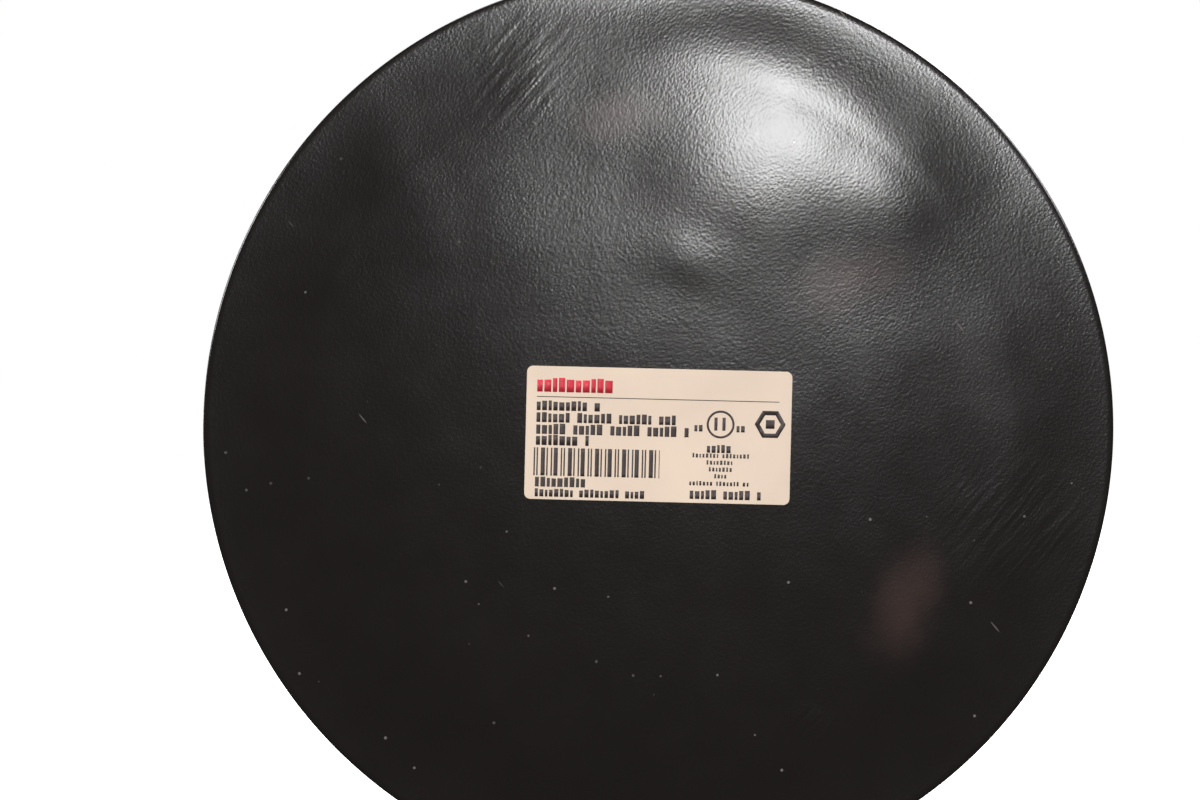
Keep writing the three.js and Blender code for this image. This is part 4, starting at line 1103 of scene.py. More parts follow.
@dataclass
class Casting(Assembly):
    """Die-cast base with its seal and the plug in its conduit port."""

    wall: float = 3.2
    floor: float = 3.0
    fillet: float = 1.6
    rim_width: float = 5.0
    rim_depth: float = 5.0
    boss: float = 6.5
    thread: float = 2.3
    thread_depth: float = 12.0
    post: float = 2.5
    post_height: float = 3.0
    mount_hole: float = 2.6
    cable_hole: float = 9.5
    cable_hole_y: float = 20.0
    port_wall: float = 3.4
    plug_flange: float = 2.4
    plug_seal: float = 0.8
    seat_gap: float = 0.1

    def build(self) -> None:
        """Makes the casting, the seals and the plug."""
        self.add("base_shell", self.casting(), POWDER, ("base_casting",), bevel=0.35)
        seal = Seat.of("cover_seal")
        width = 1.8
        self.add(
            "cover_seal_ring",
            Solid.ring(seal.radius - width, seal.radius, seal.low, seal.high),
            RUBBER,
            ("cover_seal",),
            bevel=0.3,
        )
        self.build_plug()

    def port(self) -> tuple[float, float, float]:
        """Radius of the port, height of its axis, and the distance of its face."""
        low, high = (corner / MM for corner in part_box("conduit_plug"))
        seal, _ = (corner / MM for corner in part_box("conduit_plug_seal"))
        return (high.z - low.z) / 2 - self.plug_flange, -(low.y + high.y) / 2, seal.x - self.seat_gap

    def cup(self, seat: Seat) -> Solid:
        """The bare cup with its thick rim."""
        inner = seat.radius - self.wall
        floor = seat.low + self.floor
        shelf = seat.high - self.rim_depth
        return Solid.turned([
            (0, seat.low),
            *arc((seat.radius - self.fillet, seat.low + self.fillet), self.fillet, self.fillet, -90, 0, 6),
            (seat.radius, seat.high),
            (seat.radius - self.rim_width, seat.high),
            (seat.radius - self.rim_width, shelf),
            (inner, shelf - (self.rim_width - self.wall)),
            *arc((inner - self.fillet, floor + self.fillet), self.fillet, self.fillet, 0, -90, 5),
            (0, floor),
        ])

    def casting(self) -> Solid:
        """The casting: cup, screw bosses, board posts, port boss, holes and the seal's groove."""
        seat = Seat.of("base_casting")
        screw = Seat.of("cover_screw_1")
        clip = Seat.of("clip_screw_1")
        floor = seat.low + self.floor
        top = floor + THROUGH
        below = seat.low - THROUGH
        angles = places(3, screw.angle)
        radius, port_height, face = self.port()
        pillar = Solid.bar(self.boss, floor - THROUGH, seat.high - self.seat_gap)
        bosses = pillar.round_at(screw.circle, angles)
        boss = Solid.bar(radius + self.port_wall, screw.circle, face, MEDIUM).spun(90, "Y")
        board = Seat.of("power_board")
        post = Solid.bar(self.post, floor - THROUGH, floor + self.post_height)
        reach = board.radius - 2 * self.post
        posts = [post.moved(-reach, -5), post.moved(reach, -5), post.moved(0, -reach)]
        blank = self.cup(seat).with_all([*bosses, boss.moved(z=port_height), *posts])
        outside = seat.radius + THROUGH
        port_hole = Solid.bar(radius, screw.circle - 2 * self.boss, outside, MEDIUM)
        port_face = Solid.bar(radius + self.port_wall + 0.4, face, outside, MEDIUM)
        seal = Seat.of("cover_seal")
        holes = Solid.bar(self.mount_hole, below, top).round_at(clip.circle, places(3, 60.0))
        holes += Solid.bar(1.55, floor - 2.5, top).round_at(clip.circle, places(3, clip.angle))
        low = seat.high - self.thread_depth
        holes += Solid.bar(self.thread, low, seat.high + THROUGH).round_at(screw.circle, angles)
        return blank.without([
            port_face.spun(90, "Y").moved(z=port_height),
            port_hole.spun(90, "Y").moved(z=port_height),
            Solid.ring(seal.radius - 2.0, seal.radius + 0.2, seal.low - self.seat_gap, seat.high + THROUGH),
            Solid.bar(self.cable_hole, below, top, MEDIUM).moved(0, self.cable_hole_y),
            *holes,
        ])

    def build_plug(self) -> None:
        """Makes the slotted plug, knurled round its head, and the flat seal under it."""
        radius, height, face = self.port()
        low, high = (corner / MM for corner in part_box("conduit_plug"))
        head = radius + self.plug_flange
        start = face + self.plug_seal + 2 * self.seat_gap
        blank = Solid.bar(radius - 0.3, low.x, start + 0.5, MEDIUM) + button(head, start, high.x, 0.6, MEDIUM)
        slot = Solid.block((-1.1, 1.1), (-head * 0.7, head * 0.7), (start + 1.0, high.x + THROUGH))
        knurled = fluted(blank, head + 0.15, 0.45, 36, start - THROUGH, high.x + THROUGH)
        groove = Solid.ring(radius - 0.7, radius, low.x + 0.8, low.x + 1.3)
        grooves = [groove.moved(z=1.5 * i) for i in range(4)]
        plug = knurled.without([slot, *grooves]).spun(90, "Y").moved(z=height)
        self.add("port_plug", plug, POWDER, ("conduit_plug",), bevel=0.15)
        gap = self.seat_gap
        flat = Solid.ring(radius + gap, head - 0.4, face + gap, start - gap, MEDIUM).spun(90, "Y")
        self.add("port_plug_seal", flat.moved(z=height), RUBBER, ("conduit_plug_seal",), bevel=0.15)


@dataclass
class Cover(Assembly):
    """Cover ring with the bubble, its gasket and retainer, and the captive screws."""

    body: str = "dome_cover"
    wall: float = 3.0
    shoulder: float = 13.5
    lip_width: float = 6.0
    lip_chamfer: float = 1.0
    run_gap: float = 0.3
    boss: float = 6.5
    bubble_wall: float = 3.0
    flange: float = 3.0
    screw_hole: float = 2.3
    clamp_hole: float = 1.55

    def build(self) -> None:
        """Makes the cover, the bubble, the clamping rings and the screws."""
        self.add("cover_shell", self.shell(), POWDER, ("cover_ring",), bevel=0.3)
        self.add("clear_bubble", self.bubble(), BUBBLE, ("dome_bubble",), bevel=0.15)
        for node, finish, inner in (("bubble_gasket", RUBBER, 48.76), ("bubble_retainer", ZINC, 45.46)):
            seat = Seat.of(node)
            flat = Solid.ring(inner, seat.radius, seat.low, seat.high)
            self.add(f"{node}_ring", self.clamped(flat, seat), finish, (node,), bevel=0.15)
        for i in (1, 2, 3):
            self.build_screw(i)
            self.keep(f"retainer_screw_{i}", STEEL, 0.12)

    def outside(self, seat: Seat, margin: float, steps: int = 24) -> Profile:
        """The cover's rounded shoulder, set in by a margin."""
        lip = self.bubble_radius() + self.lip_width
        centre = (lip, seat.high - self.shoulder)
        return arc(centre, seat.radius - margin - lip, self.shoulder - margin, 0, 90, steps)

    def bubble_radius(self) -> float:
        """Outer radius of the bubble."""
        return Seat.of("dome_bubble").high + joint("tilt")["pos_m"][1] / MM

    def shell(self) -> Solid:
        """The cover ring: wall, shoulder, lip, the bubble's seat and the sunk screw seats."""
        seat = Seat.of("cover_ring")
        screw = Seat.of("cover_screw_1")
        washer = Seat.of("screw_washer_1")
        gasket = Seat.of("bubble_gasket")
        glass = Seat.of("dome_bubble")
        bubble = self.bubble_radius()
        lip = bubble + self.run_gap
        bed = gasket.high + 0.1
        locating = glass.radius + self.run_gap
        inside = seat.radius - self.wall
        turn = seat.high - self.shoulder
        under = arc(
            (bubble + self.lip_width, turn - 1),
            inside - bubble - self.lip_width,
            self.shoulder - self.wall,
            math.degrees(math.acos((locating + self.wall - bubble - self.lip_width)
                                   / (inside - bubble - self.lip_width))),
            0,
            12,
        )
        shell = Solid.turned([
            (seat.radius, seat.low),
            *self.outside(seat, 0.0),
            (lip + self.lip_chamfer, seat.high),
            (lip, seat.high - self.lip_chamfer),
            (lip, bed),
            (locating, bed),
            (locating, glass.low),
            (locating + self.wall, glass.low),
            *under,
            (inside, seat.low),
            (seat.radius, seat.low),
        ])
        inner = screw.circle - self.boss - THROUGH
        outline = [point for point in self.outside(seat, 0.5) if point[0] > inner]
        rim = outline[-1][1]
        full = Solid.turned([
            (inner, seat.low), (seat.radius - 0.5, seat.low), *outline, (inner, rim), (inner, seat.low),
        ])
        angles = places(3, screw.angle)
        bosses = Solid.bar(self.boss, seat.low, seat.high, SMALL).round_at(screw.circle, angles)
        blank = shell.with_all([full & boss for boss in bosses])
        sunk = washer.low - 0.1
        well = Solid.bar(washer.radius + self.run_gap, sunk, seat.high + THROUGH)
        hole = Solid.bar(self.screw_hole, seat.low - THROUGH, sunk + THROUGH)
        clamp = Seat.of("retainer_screw_1")
        pilot = Solid.bar(self.clamp_hole, bed - THROUGH, clamp.high + 0.3, 16)
        return blank.without([
            *well.round_at(screw.circle, angles),
            *hole.round_at(screw.circle, angles),
            *pilot.round_at(clamp.circle, places(3, clamp.angle)),
        ])

    def clamped(self, solid: Solid, seat: Seat) -> Solid:
        """A clamped piece with the holes for the retainer's screws."""
        clamp = Seat.of("retainer_screw_1")
        hole = Solid.bar(self.clamp_hole, seat.low - THROUGH, seat.high + THROUGH, 16)
        return solid.without(hole.round_at(clamp.circle, places(3, clamp.angle)))

    def bubble(self) -> Solid:
        """The half-sphere bubble with its skirt and flange."""
        seat = Seat.of("dome_bubble")
        outer = self.bubble_radius()
        inner = outer - self.bubble_wall
        centre = (0.0, seat.high - outer)
        top = seat.low + self.flange
        fillet = 0.8
        return Solid.turned([
            (seat.radius, seat.low),
            (seat.radius, top),
            *arc((outer + fillet, top + fillet), fillet, fillet, 270, 180, 4),
            *arc(centre, outer, outer, 0, 90, 44)[:-1],
            (0.0, seat.high),
            (0.0, seat.high - self.bubble_wall),
            *arc(centre, inner, inner, 90, 0, 44)[1:],
            (inner, seat.low),
            (seat.radius, seat.low),
        ])

    def build_screw(self, number: int) -> None:
        """Makes one captive screw and its washer.

        Args:
            number: Which of the three.
        """
        seat = Seat.of(f"cover_screw_{number}")
        washer = Seat.of(f"screw_washer_{number}")
        head = washer.high + 0.1
        cap = Solid.turned([
            (0, head),
            (washer.radius, head),
            *arc((washer.radius - 0.9, seat.high - 0.9), 0.9, 0.9, 0, 60, 5),
            (washer.radius - 1.8, seat.high - 0.02),
            (0, seat.high),
        ], MEDIUM)
        socket = Solid.ring(0.7, 2.1, seat.high - 1.7, seat.high + THROUGH, 6).spun(15)
        shank = Solid.bar(2.0, seat.low, head + 0.5)
        groove = Solid.ring(1.75, 2.6, seat.low + 0.5, seat.low + 0.8)
        grooves = [groove.moved(z=0.7 * i) for i in range(14)]
        screw = ((cap + shank) - socket) - Solid.group(grooves)
        name = f"cover_screw_{number}"
        self.add(f"{name}_steel", screw.moved(seat.x, seat.y), STEEL, (name,), bevel=0.1)
        flat = Solid.ring(2.3, washer.radius, washer.low, washer.high, MEDIUM).moved(seat.x, seat.y)
        self.add(f"screw_washer_{number}_rubber", flat, RUBBER, (f"screw_washer_{number}",), bevel=0.2)


@dataclass
class PanBase(Assembly):
    """Turntable with its track, clips, brackets, lock screw and the set-up key's board."""

    body: str = "pan_base"
    hole: float = 20.0
    track_inset: float = 4.0
    track_wall: float = 8.0
    ticks: int = 72
    clip_width: float = 8.0
    leg_width: float = 12.0
    board_length: float = 26.0
    board_post_inset: float = 2.5
    rib_count: int = 24

    def build(self) -> None:
        """Makes the turning pieces and dresses the rest."""
        self.add("turntable_disc", self.turntable(), BLACK, ("turntable",), bevel=0.3)
        self.add("turntable_ticks", Solid.group(self.scale_marks()), NYLON, bevel=0)
        self.add("track_ring", self.track(), GREY, ("turntable_track",), "base", bevel=0.3)
        self.build_lock()
        for i in (1, 2, 3):
            self.keep(f"turntable_clip_{i}", ZINC, 0.3)
            self.keep(f"clip_screw_{i}", STEEL, 0.15)
        for side in ("left", "right"):
            self.keep(f"bracket_{side}", ZINC, 0.35)
            self.keep(f"bracket_screw_{side}", STEEL, 0.15)
        self.keep("control_board", BOARD, 0.1)
        self.keep("setup_key_switch", EPOXY, 0.25)
        self.keep("setup_key", NYLON, 0.2)
        self.build_board_parts()

    def turntable(self) -> Solid:
        """The disc: stepped edge, centre hole, screw holes, leg slots and board posts."""
        seat = Seat.of("turntable")
        board = Seat.of("control_board")
        top = Seat.of("bracket_left").low - 0.1
        below, above = seat.low - THROUGH, top + THROUGH
        disc = Solid.ring(self.hole, seat.radius, seat.low, top)
        collar = Solid.ring(self.hole, self.hole + 1.6, seat.low, top + 0.9)
        half = self.board_length / 2 - self.board_post_inset
        posts = [Solid.bar(2.0, top - THROUGH, board.low - 0.1).moved(x, board.y) for x in (-half, half)]
        leg = self.liner_leg(below, above)
        foot = Seat.of("bracket_screw_right")
        lock = Seat.of("pan_lock_screw")
        tools = [leg, leg.spun(180), Solid.bar(2.3, below, above).out_at(lock.circle, lock.angle)]
        tools += Solid.bar(1.8, below, above).round_at(foot.circle, places(2))
        return disc.with_all([collar, *posts]).without(tools)

    def liner_leg(self, low: float, high: float) -> Solid:
        """Room for one of the liner's legs, between two heights."""
        outer = Seat.of("dome_liner").radius
        half = self.leg_width / 2 + 0.3
        return Solid.block((outer - 2.4, outer + 0.3), (-half, half), (low, high))

    def scale_marks(self) -> list[Solid]:
        """Raised marks of the pan scale, longer at every sixth, where no other piece stands."""
        seat = Seat.of("turntable")
        top = Seat.of("bracket_left").low - 0.1
        marks = []
        for i, angle in enumerate(places(self.ticks)):
            length = 2.6 if i % 6 == 0 else 1.5
            outer = seat.radius - 2.9
            if min(abs(angle % 180 - a) for a in (0, 180)) > 12:
                mark = Solid.block((outer - length, outer), (-0.16, 0.16), (top - 0.05, top + 0.12))
                marks.append(mark.spun(angle))
        return marks

    def track(self) -> Solid:
        """The ring under the turntable, with its ears, wire notch and holes."""
        seat = Seat.of("turntable_track")
        table = Seat.of("turntable")
        clip = Seat.of("clip_screw_1")
        outer = table.radius - self.track_inset
        wall = Solid.ring(outer - self.track_wall, outer, seat.low, table.low - 0.3)
        core = Solid.ring(outer - self.track_wall + 1.8, outer - 1.8, seat.low + 2.0, table.low - 2.3)
        half = self.clip_width / 2 + 1
        ear = Solid.block((outer - 2, clip.circle + 3), (-half, half), (seat.low, seat.low + 2.0))
        ears = [ear.spun(angle) for angle in places(3, clip.angle)]
        rib = Solid.block((outer - 7, outer - 1), (-0.7, 0.7), (seat.low + 1, table.low - 1.5))
        notch = Solid.block((-6, 6), (0, outer + THROUGH), (table.low - 5.1, table.low + THROUGH))
        holes = Solid.bar(1.55, seat.low - THROUGH, seat.low + 3).round_at(clip.circle, places(3, clip.angle))
        hollow = (wall - core).with_all([rib.spun(angle) for angle in places(self.rib_count)])
        return hollow.with_all(ears).without([notch, *holes])

    def build_lock(self) -> None:
        """Makes the nylon thumb screw that clamps the turntable."""
        seat = Seat.of("pan_lock_screw")
        low = Seat.of("bracket_left").low
        blank = button(5.0, low, seat.high, 0.8, MEDIUM)
        knob = fluted(blank, 5.2, 0.8, 12, low - THROUGH, seat.high + THROUGH)
        slot = Solid.block((-3.4, 3.4), (-0.6, 0.6), (seat.high - 1.2, seat.high + THROUGH))
        screw = ((knob + Solid.bar(2.0, seat.low, low + THROUGH)) - slot).moved(seat.x, seat.y)
        self.add("pan_lock_knob", screw, NYLON, ("pan_lock_screw",), "pan_lock", bevel=0.2)

    def build_board_parts(self) -> None:
        """Adds the small parts on the control board: a plug header, a chip and chip capacitors."""
        board = Seat.of("control_board")
        top = board.high + 0.02
        header = Solid.block((-4.2, 4.2), (-2.2, 2.2), (top, top + 4.2))
        well = Solid.block((-3.6, 3.6), (-1.6, 1.6), (top + 0.8, top + 6))
        pin = Solid.block((-0.25, 0.25), (-0.25, 0.25), (top + 0.3, top + 3.8))
        pins = [pin.moved(x) for x in (-2.5, 0.0, 2.5)]
        self.add("board_header", (header - well).moved(7.2, board.y + 1.5), NYLON, bevel=0.12)
        self.add("board_header_pins", Solid.group(pins).moved(7.2, board.y + 1.5), STEEL, bevel=0.05)
        chip = Solid.block((-2.6, 2.6), (-1.9, 1.9), (top + 0.15, top + 1.5))
        self.add("board_chip", chip.moved(0.4, board.y - 2.9), EPOXY, bevel=0.15)
        leg = Solid.block((-0.2, 0.2), (-2.9, 2.9), (top - 0.01, top + 0.4))
        legs = [leg.moved(x) for x in (-1.9, -0.63, 0.63, 1.9)]
        self.add("board_chip_legs", Solid.group(legs).moved(0.4, board.y - 2.9), STEEL, bevel=0.04)
        small = Solid.block((0, 1.6), (0, 0.8), (top - 0.01, top + 0.7))
        chips = [small.moved(x, y) for x in (-11.0, -8.4) for y in (-4.4, -2.8)]
        self.add("board_small_parts", Solid.group(chips).moved(0, board.y), ZINC, bevel=0.08)


@dataclass
class Liner(Assembly):
    """Black half-sphere shroud with the slot that the lens looks through."""

    body: str = "liner"
    wall: float = 1.5
    slot_half: float = 15.0
    leg_width: float = 12.0

    def build(self) -> None:
        """Makes the liner."""
        seat = Seat.of("dome_liner")
        pivot = -joint("tilt")["pos_m"][1] / MM
        outer = seat.radius
        inner = outer - self.wall
        skirt = pivot - 8.0
        centre = (0.0, pivot)
        shell = Solid.turned([
            (outer, skirt),
            *arc(centre, outer, outer, 0, 90, 40)[:-1],
            (0.0, pivot + outer),
            (0.0, pivot + inner),
            *arc(centre, inner, inner, 90, 0, 40)[1:],
            (inner, skirt),
            (outer, skirt),
        ])
        reach = outer + THROUGH
        end = Solid.bar(self.slot_half, pivot, pivot + reach, MEDIUM)
        run = Solid.block((-self.slot_half, self.slot_half), (-reach, 0), (skirt - THROUGH, pivot + reach))
        leg = Solid.block(
            (inner - 0.6, outer - 0.4),
            (-self.leg_width / 2, self.leg_width / 2),
            (seat.low, skirt + 2),
        )
        body = (shell - (end + run)).with_all([leg, leg.spun(180)])
        self.add("liner_shell", body, BLACK, ("dome_liner",), bevel=0.3)


@dataclass
class Module(Assembly):
    """Cradle, tilt locks and the camera module with its varifocal lens. Distances run along the lens."""

    body: str = "camera_module"
    at: Matrix = field(default_factory=lens_frame)
    collar: float = 19.5
    collar_low: float = -5.3
    collar_high: float = 7.3
    thread: float = 12.5
    housing: float = 35.0
    housing_corner: float = 6.0
    housing_wall: float = 1.4
    housing_low: float = -20.6
    housing_high: float = -5.4
    iris: Point = (7.4, 12.0)
    zoom: Point = (12.3, 18.3)
    stop: Point = (18.6, 20.5)
    focus: Point = (20.8, 27.8)
    ring: float = 13.5
    tube: float = 10.0
    bore: float = 8.0
    front: Point = (28.2, 41.0)
    glass: float = 9.6
    glass_back: float = 36.8
    throat_low: float = 29.0
    throat_gap: float = 0.05

    def build(self) -> None:
        """Makes the cradle, the locks, the module and the lens."""
        self.build_cradle()
        self.build_housing()
        self.build_lens()
        self.build_rings()
        for node, finish in (("ir_cut_filter", COATING), ("image_sensor", EPOXY)):
            self.keep(node, finish, 0.1)
        for node in ("sensor_board", "signal_board"):
            self.keep(node, BOARD, 0.08)

    def put(
        self,
        name: str,
        solid: Solid,
        finish: Finish,
        replaces: str = "",
        body: str = "",
        bevel: float = 0.2,
    ) -> None:
        """Adds a piece in the lens's own frame.

        Args:
            name: The piece's name.
            solid: Its shape.
            finish: Its finish.
            replaces: The frame node that it stands for, if any.
            body: The body it rides on, if not the camera module.
            bevel: Width of the bevel on its sharp edges.
        """
        nodes = (replaces,) if replaces else ()
        self.add(name, solid, finish, nodes, body or None, self.at, bevel)

    def build_cradle(self) -> None:
        """Makes the ring that the module turns in, its washers and its fluted lock knobs."""
        inner, outer, half = self.collar + 0.3, 22.8, 5.0
        wall = Solid.ring(inner, outer - 0.6, -half, half, MEDIUM)
        cheek = Solid.bar(half, inner, outer, MEDIUM).spun(90, "Y")
        bore = Solid.bar(inner, -half - THROUGH, half + THROUGH, MEDIUM)
        pivot = Solid.bar(2.3, -outer - THROUGH, outer + THROUGH).spun(90, "Y")
        grooves = [Solid.ring(outer - 1.2, outer, z - 0.4, z + 0.4, MEDIUM) for z in (-2.6, 2.6)]
        rim = wall.without(grooves).with_all([cheek, cheek.spun(180)])
        self.put("cradle_ring", rim.without([bore, pivot]), GREY, "tilt_cradle", "cradle")
        for side, angle in (("right", 0.0), ("left", 180.0)):
            washer = Solid.ring(2.3, 4.8, 22.9, 24.3, SMALL).spun(90, "Y").spun(angle)
            self.put(f"cradle_washer_{side}", washer, ZINC, f"friction_washer_{side}", "cradle", 0.25)
            knob = fluted(button(6.0, 27.0, 32.0, 0.8, MEDIUM), 6.25, 0.9, 14, 26.0, 33.0)
            dish = Solid.turned([(0, 31.4), (3.6, 31.4), (4.2, 33.0), (0, 33.0)], SMALL)
            shank = Solid.bar(2.0, self.collar + 0.5, 28.0)
            screw = ((knob - dish) + shank).spun(90, "Y").spun(angle)
            self.put(f"tilt_knob_{side}", screw, BLACK, f"tilt_lock_{side}", f"lock_{side}")

    def build_housing(self) -> None:
        """Makes the collar and the rounded square housing behind it, with cooling slots."""
        bore = self.thread + 0.3
        low, high = self.collar_low, self.collar_high
        collar = Solid.turned([
            (bore, low), (self.collar, low), (self.collar, high - 2.0), (self.collar + 2.0, high - 2.0),
            (self.collar + 2.0, high), (bore + 1.6, high), (bore, high - 1.2), (bore, low),
        ], MEDIUM)
        mark = Solid.block((self.collar - 1.6, self.collar + 3.0), (-0.3, 0.3), (high - 0.5, high + THROUGH))
        marked = collar.without([mark.spun(angle) for angle in places(4, 45.0)])
        self.put("collar_ring", marked, BLACK, "module_collar")
        outline = rounded_rectangle(self.housing, self.housing, self.housing_corner)
        inside = self.housing - 2 * self.housing_wall
        hollow = rounded_rectangle(inside, inside, self.housing_corner - self.housing_wall)
        shell = Solid.plate(outline, self.housing_low, self.housing_high)
        wall = self.housing_wall
        cavity = Solid.plate(hollow, self.housing_low + wall, self.housing_high - wall)
        light = Solid.bar(self.thread, self.housing_high - 3, self.housing_high + THROUGH, MEDIUM)
        port = Solid.block((-7, 7), (-13.5, -7.5), (self.housing_low - THROUGH, self.housing_low + 3))
        slots = [Solid.block((x - 0.6, x + 0.6), (4, 13), (self.housing_low - THROUGH, self.housing_low + 3))
                 for x in (-9.0, -6.0, -3.0, 0.0, 3.0, 6.0, 9.0)]
        self.put("housing_shell", shell.without([cavity, light, port, *slots]), BLACK, "module_housing")

    def build_lens(self) -> None:
        """Makes the lens body, its front barrel, the front glass and the glass behind it."""
        start, end = self.iris
        body = Solid.turned([
            (self.bore, self.collar_low + 1), (self.thread, self.collar_low + 1), (self.thread, start),
            (15.0, start), (15.0, end), (self.tube, end), (self.tube, self.stop[0]),
            (self.ring - 1, self.stop[0]), (self.ring - 1, self.stop[1]), (self.tube, self.stop[1]),
            (self.tube, self.focus[1] + 0.3), (self.bore, self.focus[1] + 0.3),
            (self.bore, self.collar_low + 1),
        ], MEDIUM)
        motor = Solid.block((-6, 6), (self.tube, 17.5), (start, end))
        self.put("lens_barrel", body + motor, SATIN_BLACK, "lens_body")
        low, high = self.front
        seat = self.glass + 0.1
        outer = self.thread
        grooves = [(outer, low + 2.0), (outer - 0.5, low + 2.3), (outer - 0.5, low + 2.9), (outer, low + 3.2)]
        mouth = [(outer - 1.2, high), (seat + 0.2, high - 1.6), (seat, high - 1.6)]
        front = Solid.turned([
            (self.bore, low), (outer, low), *grooves, (outer, high - 0.6), (outer - 0.6, high), *mouth,
            (seat, self.glass_back - 0.1), (self.bore, self.glass_back - 0.1), (self.bore, low),
        ], MEDIUM)
        self.put("front_barrel", front, SATIN_BLACK, "lens_front", bevel=0.12)
        edge = self.glass_back + 1.0
        glass = Solid.turned([(0, self.glass_back), (self.glass, self.glass_back),
                              *arc((0, edge), self.glass, 2.2, 0, 90, 14)[:-1], (0, edge + 2.2)], MEDIUM)
        self.put("front_glass_element", glass, FRONT_GLASS, "front_element", bevel=0.08)
        foot = (self.bore - self.throat_gap, self.throat_low)
        cone = Solid.turned([foot, *self.cone(), foot], MEDIUM)
        self.put("lens_throat", cone, SATIN_BLACK, bevel=0.05)
        bulge = arc((0, 29.8), 5.6, 1.9, 0, 90, 10)[:-1]
        inner = Solid.turned([(0, 29.2), (5.6, 29.2), *bulge, (0, 31.7)], MEDIUM)
        self.put("inner_glass_element", inner, COATING, bevel=0.05)

    def cone(self) -> Profile:
        """Stepped outline of the throat between the two glasses, from the outside in."""
        steps: Profile = [(self.bore - self.throat_gap, self.glass_back - 0.3)]
        for i in range(5):
            radius = self.bore - 0.5 - 0.36 * i
            height = self.glass_back - 0.3 - 1.3 * i
            steps += [(radius, height), (radius - 0.1, height - 1.3)]
        return [*steps, (5.7, self.throat_low)]

    def build_rings(self) -> None:
        """Makes the zoom and focus rings, finely fluted, with their steel levers."""
        for name, (low, high), turn in (("zoom", self.zoom, -30.0), ("focus", self.focus, -150.0)):
            middle = (low + high) / 2
            blank = Solid.ring(self.tube + 0.3, self.ring, low, high, MEDIUM)
            knurls = Solid.bar(0.42, low + 0.8, high - 0.8, 10).round_at(self.ring + 0.1, places(54))
            hole = Solid.bar(1.5, self.tube, self.ring + THROUGH).spun(90, "Y").moved(z=middle).spun(turn)
            body = blank.without([Solid.group(knurls), hole])
            self.put(f"{name}_grip", body, SATIN_BLACK, f"{name}_ring", name, 0.12)
            head = fluted(button(2.3, 14.7, 19.0, 0.4), 2.4, 0.3, 16, 14.0, 20.0)
            lever = (head + Solid.bar(1.2, 10.6, 15.0)).spun(90, "Y").moved(z=middle).spun(turn)
            self.put(f"{name}_thumb_screw", lever, STEEL, f"{name}_lever", name, 0.12)


@dataclass
class PowerSupply(Assembly):
    """Power board in the well, with its terminal, video socket and capacitor."""

    def build(self) -> None:
        """Dresses the frame's pieces and adds the terminal's screws and a few board parts."""
        self.keep("power_board", BOARD, 0.1)
        self.keep("power_terminal", GREEN, 0.2)
        self.keep("video_socket", ZINC, 0.2)
        self.keep("power_capacitor", EPOXY, 0.5)
        top = Seat.of("power_board").high + 0.02
        terminal = Seat.of("power_terminal")
        head = button(1.5, terminal.high - 1.9, terminal.high - 0.7, 0.2)
        slot = Solid.block((-2, 2), (-0.25, 0.25), (terminal.high - 1.2, terminal.high))
        screws = [(head - slot).moved(terminal.x + x, terminal.y) for x in (-2.75, 2.75)]
        self.add("terminal_screws", Solid.group(screws), STEEL, bevel=0.08)
        chip = Solid.block((0, 3), (0, 2), (top, top + 1.2))
        chips = [chip.moved(x, y) for x in (6.0, 12.0, 18.0) for y in (-22.0, -27.0)]
        self.add("power_chips", Solid.group(chips), EPOXY, bevel=0.15)


# ---------------------------------------------------------------- studio


@dataclass(frozen=True)
class SoftBox:
    """A square studio light: where it hangs, what it points at, its side and its power."""

    name: str
    place: Colour
    aim: Colour
    side: float
    power: float

    def build(self) -> None:
        """Hangs the light."""
        data = bpy.data.lights.new(self.name, "AREA")
        data.shape = "SQUARE"
        data.size = self.side
        data.energy = self.power
        light = bpy.data.objects.new(self.name, data)
        light.location = self.place
        light.rotation_euler = (Vector(self.aim) - Vector(self.place)).to_track_quat("-Z", "Y").to_euler()
        bpy.context.scene.collection.objects.link(light)


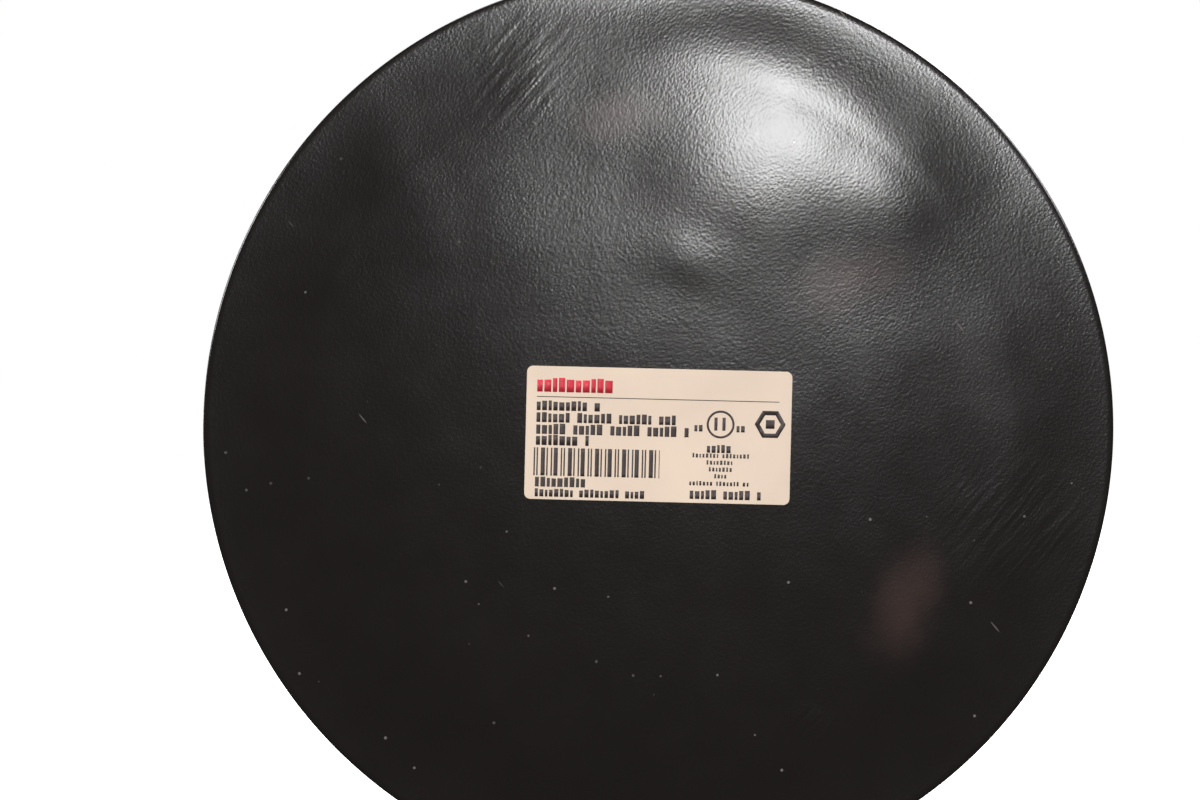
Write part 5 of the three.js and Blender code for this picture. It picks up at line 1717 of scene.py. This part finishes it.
@dataclass
class Studio:
    """Pale floor, soft light and the camera, which looks square at the mounting pad."""

    lens: float = 100.0
    distance: float = 0.5376
    across: float = 0.0094
    up: float = 0.0044
    floor_reach: float = 4.0
    white: float = 1.0
    glow: float = 0.07
    lights: tuple[SoftBox, ...] = (
        SoftBox("wall_side_key", (-0.076, 1.05, 0.151), (-0.019, 0.0, 0.054), 0.14, 1.7),
        SoftBox("wall_side_left", (-1.2, 0.9, 0.8), (0.0, 0.0, 0.0), 0.5, 18.0),
        SoftBox("wall_side_right", (1.2, 0.9, 0.5), (0.0, 0.0, 0.0), 0.5, 16.0),
        SoftBox("dome_side_key", (-0.75, -0.95, 0.85), (0.0, -0.05, 0.0), 0.7, 26.0),
        SoftBox("dome_side_fill", (1.05, -0.7, 0.3), (0.0, -0.05, 0.0), 0.6, 10.0),
        SoftBox("top_light", (0.1, -0.1, 1.3), (0.0, -0.05, 0.0), 0.8, 16.0),
    )

    def build(self) -> None:
        """Sets the stage, the lights and the camera."""
        self.build_floor()
        self.build_world()
        for light in self.lights:
            light.build()
        self.build_camera()
        bpy.context.scene.view_settings.view_transform = "Standard"

    def build_floor(self) -> None:
        """Lays the floor just under the pad's lower edge."""
        low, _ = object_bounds()
        reach = self.floor_reach / MM
        slab = Solid.block((-reach, reach), (-reach, reach), (-20.0, 0.0))
        mesh = slab.mesh
        mesh.transform(Matrix.Translation((0, 0, low.z)) @ Matrix.Scale(MM, 4))
        floor = bpy.data.objects.new("pale_floor", mesh)
        bpy.context.scene.collection.objects.link(floor)
        made = FLOOR.material()
        skin = next(n for n in made.node_tree.nodes if n.type == "BSDF_PRINCIPLED")
        skin.inputs["Emission Color"].default_value = (1.0, 1.0, 1.0, 1.0)
        skin.inputs["Emission Strength"].default_value = 1.0
        mesh.materials.append(made)
        floor.visible_glossy = False
        floor.visible_diffuse = False
        floor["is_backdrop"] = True

    def build_world(self) -> None:
        """Makes a white room: bright where it is seen, and dim where it lights."""
        world = bpy.data.worlds.new("studio")
        bpy.context.scene.world = world
        world.use_nodes = True
        graph = Graph(world.node_tree)
        seen = graph.node("ShaderNodeLightPath", output="Is Camera Ray")
        strength = seen * (self.white - self.glow) + self.glow
        back = graph.node("ShaderNodeBackground", None, {"Color": (1.0, 1.0, 1.0, 1.0), "Strength": strength})
        graph.node("ShaderNodeOutputWorld", None, {"Surface": back})

    def build_camera(self) -> None:
        """Places the camera on the wall's side of the pad."""
        data = bpy.data.cameras.new("camera")
        data.lens = self.lens
        camera = bpy.data.objects.new("camera", data)
        camera.location = (self.across, self.distance, self.up)
        camera.rotation_euler = Vector((0.0, -1.0, 0.0)).to_track_quat("-Z", "Y").to_euler()
        bpy.context.scene.collection.objects.link(camera)
        bpy.context.scene.camera = camera


def main() -> None:
    """Builds the studio and every sub-assembly in order."""
    logging.basicConfig(level=logging.INFO, format="%(name)s: %(message)s")
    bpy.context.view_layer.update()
    Studio().build()
    parts = [PadAndLabel(), Casting(), Cover(), PanBase(), Liner(), Module(), PowerSupply()]
    for part in parts:
        part.build()
        log.info("%s: %d pieces", type(part).__name__, len(part.made))


if __name__ == "__main__":
    main()
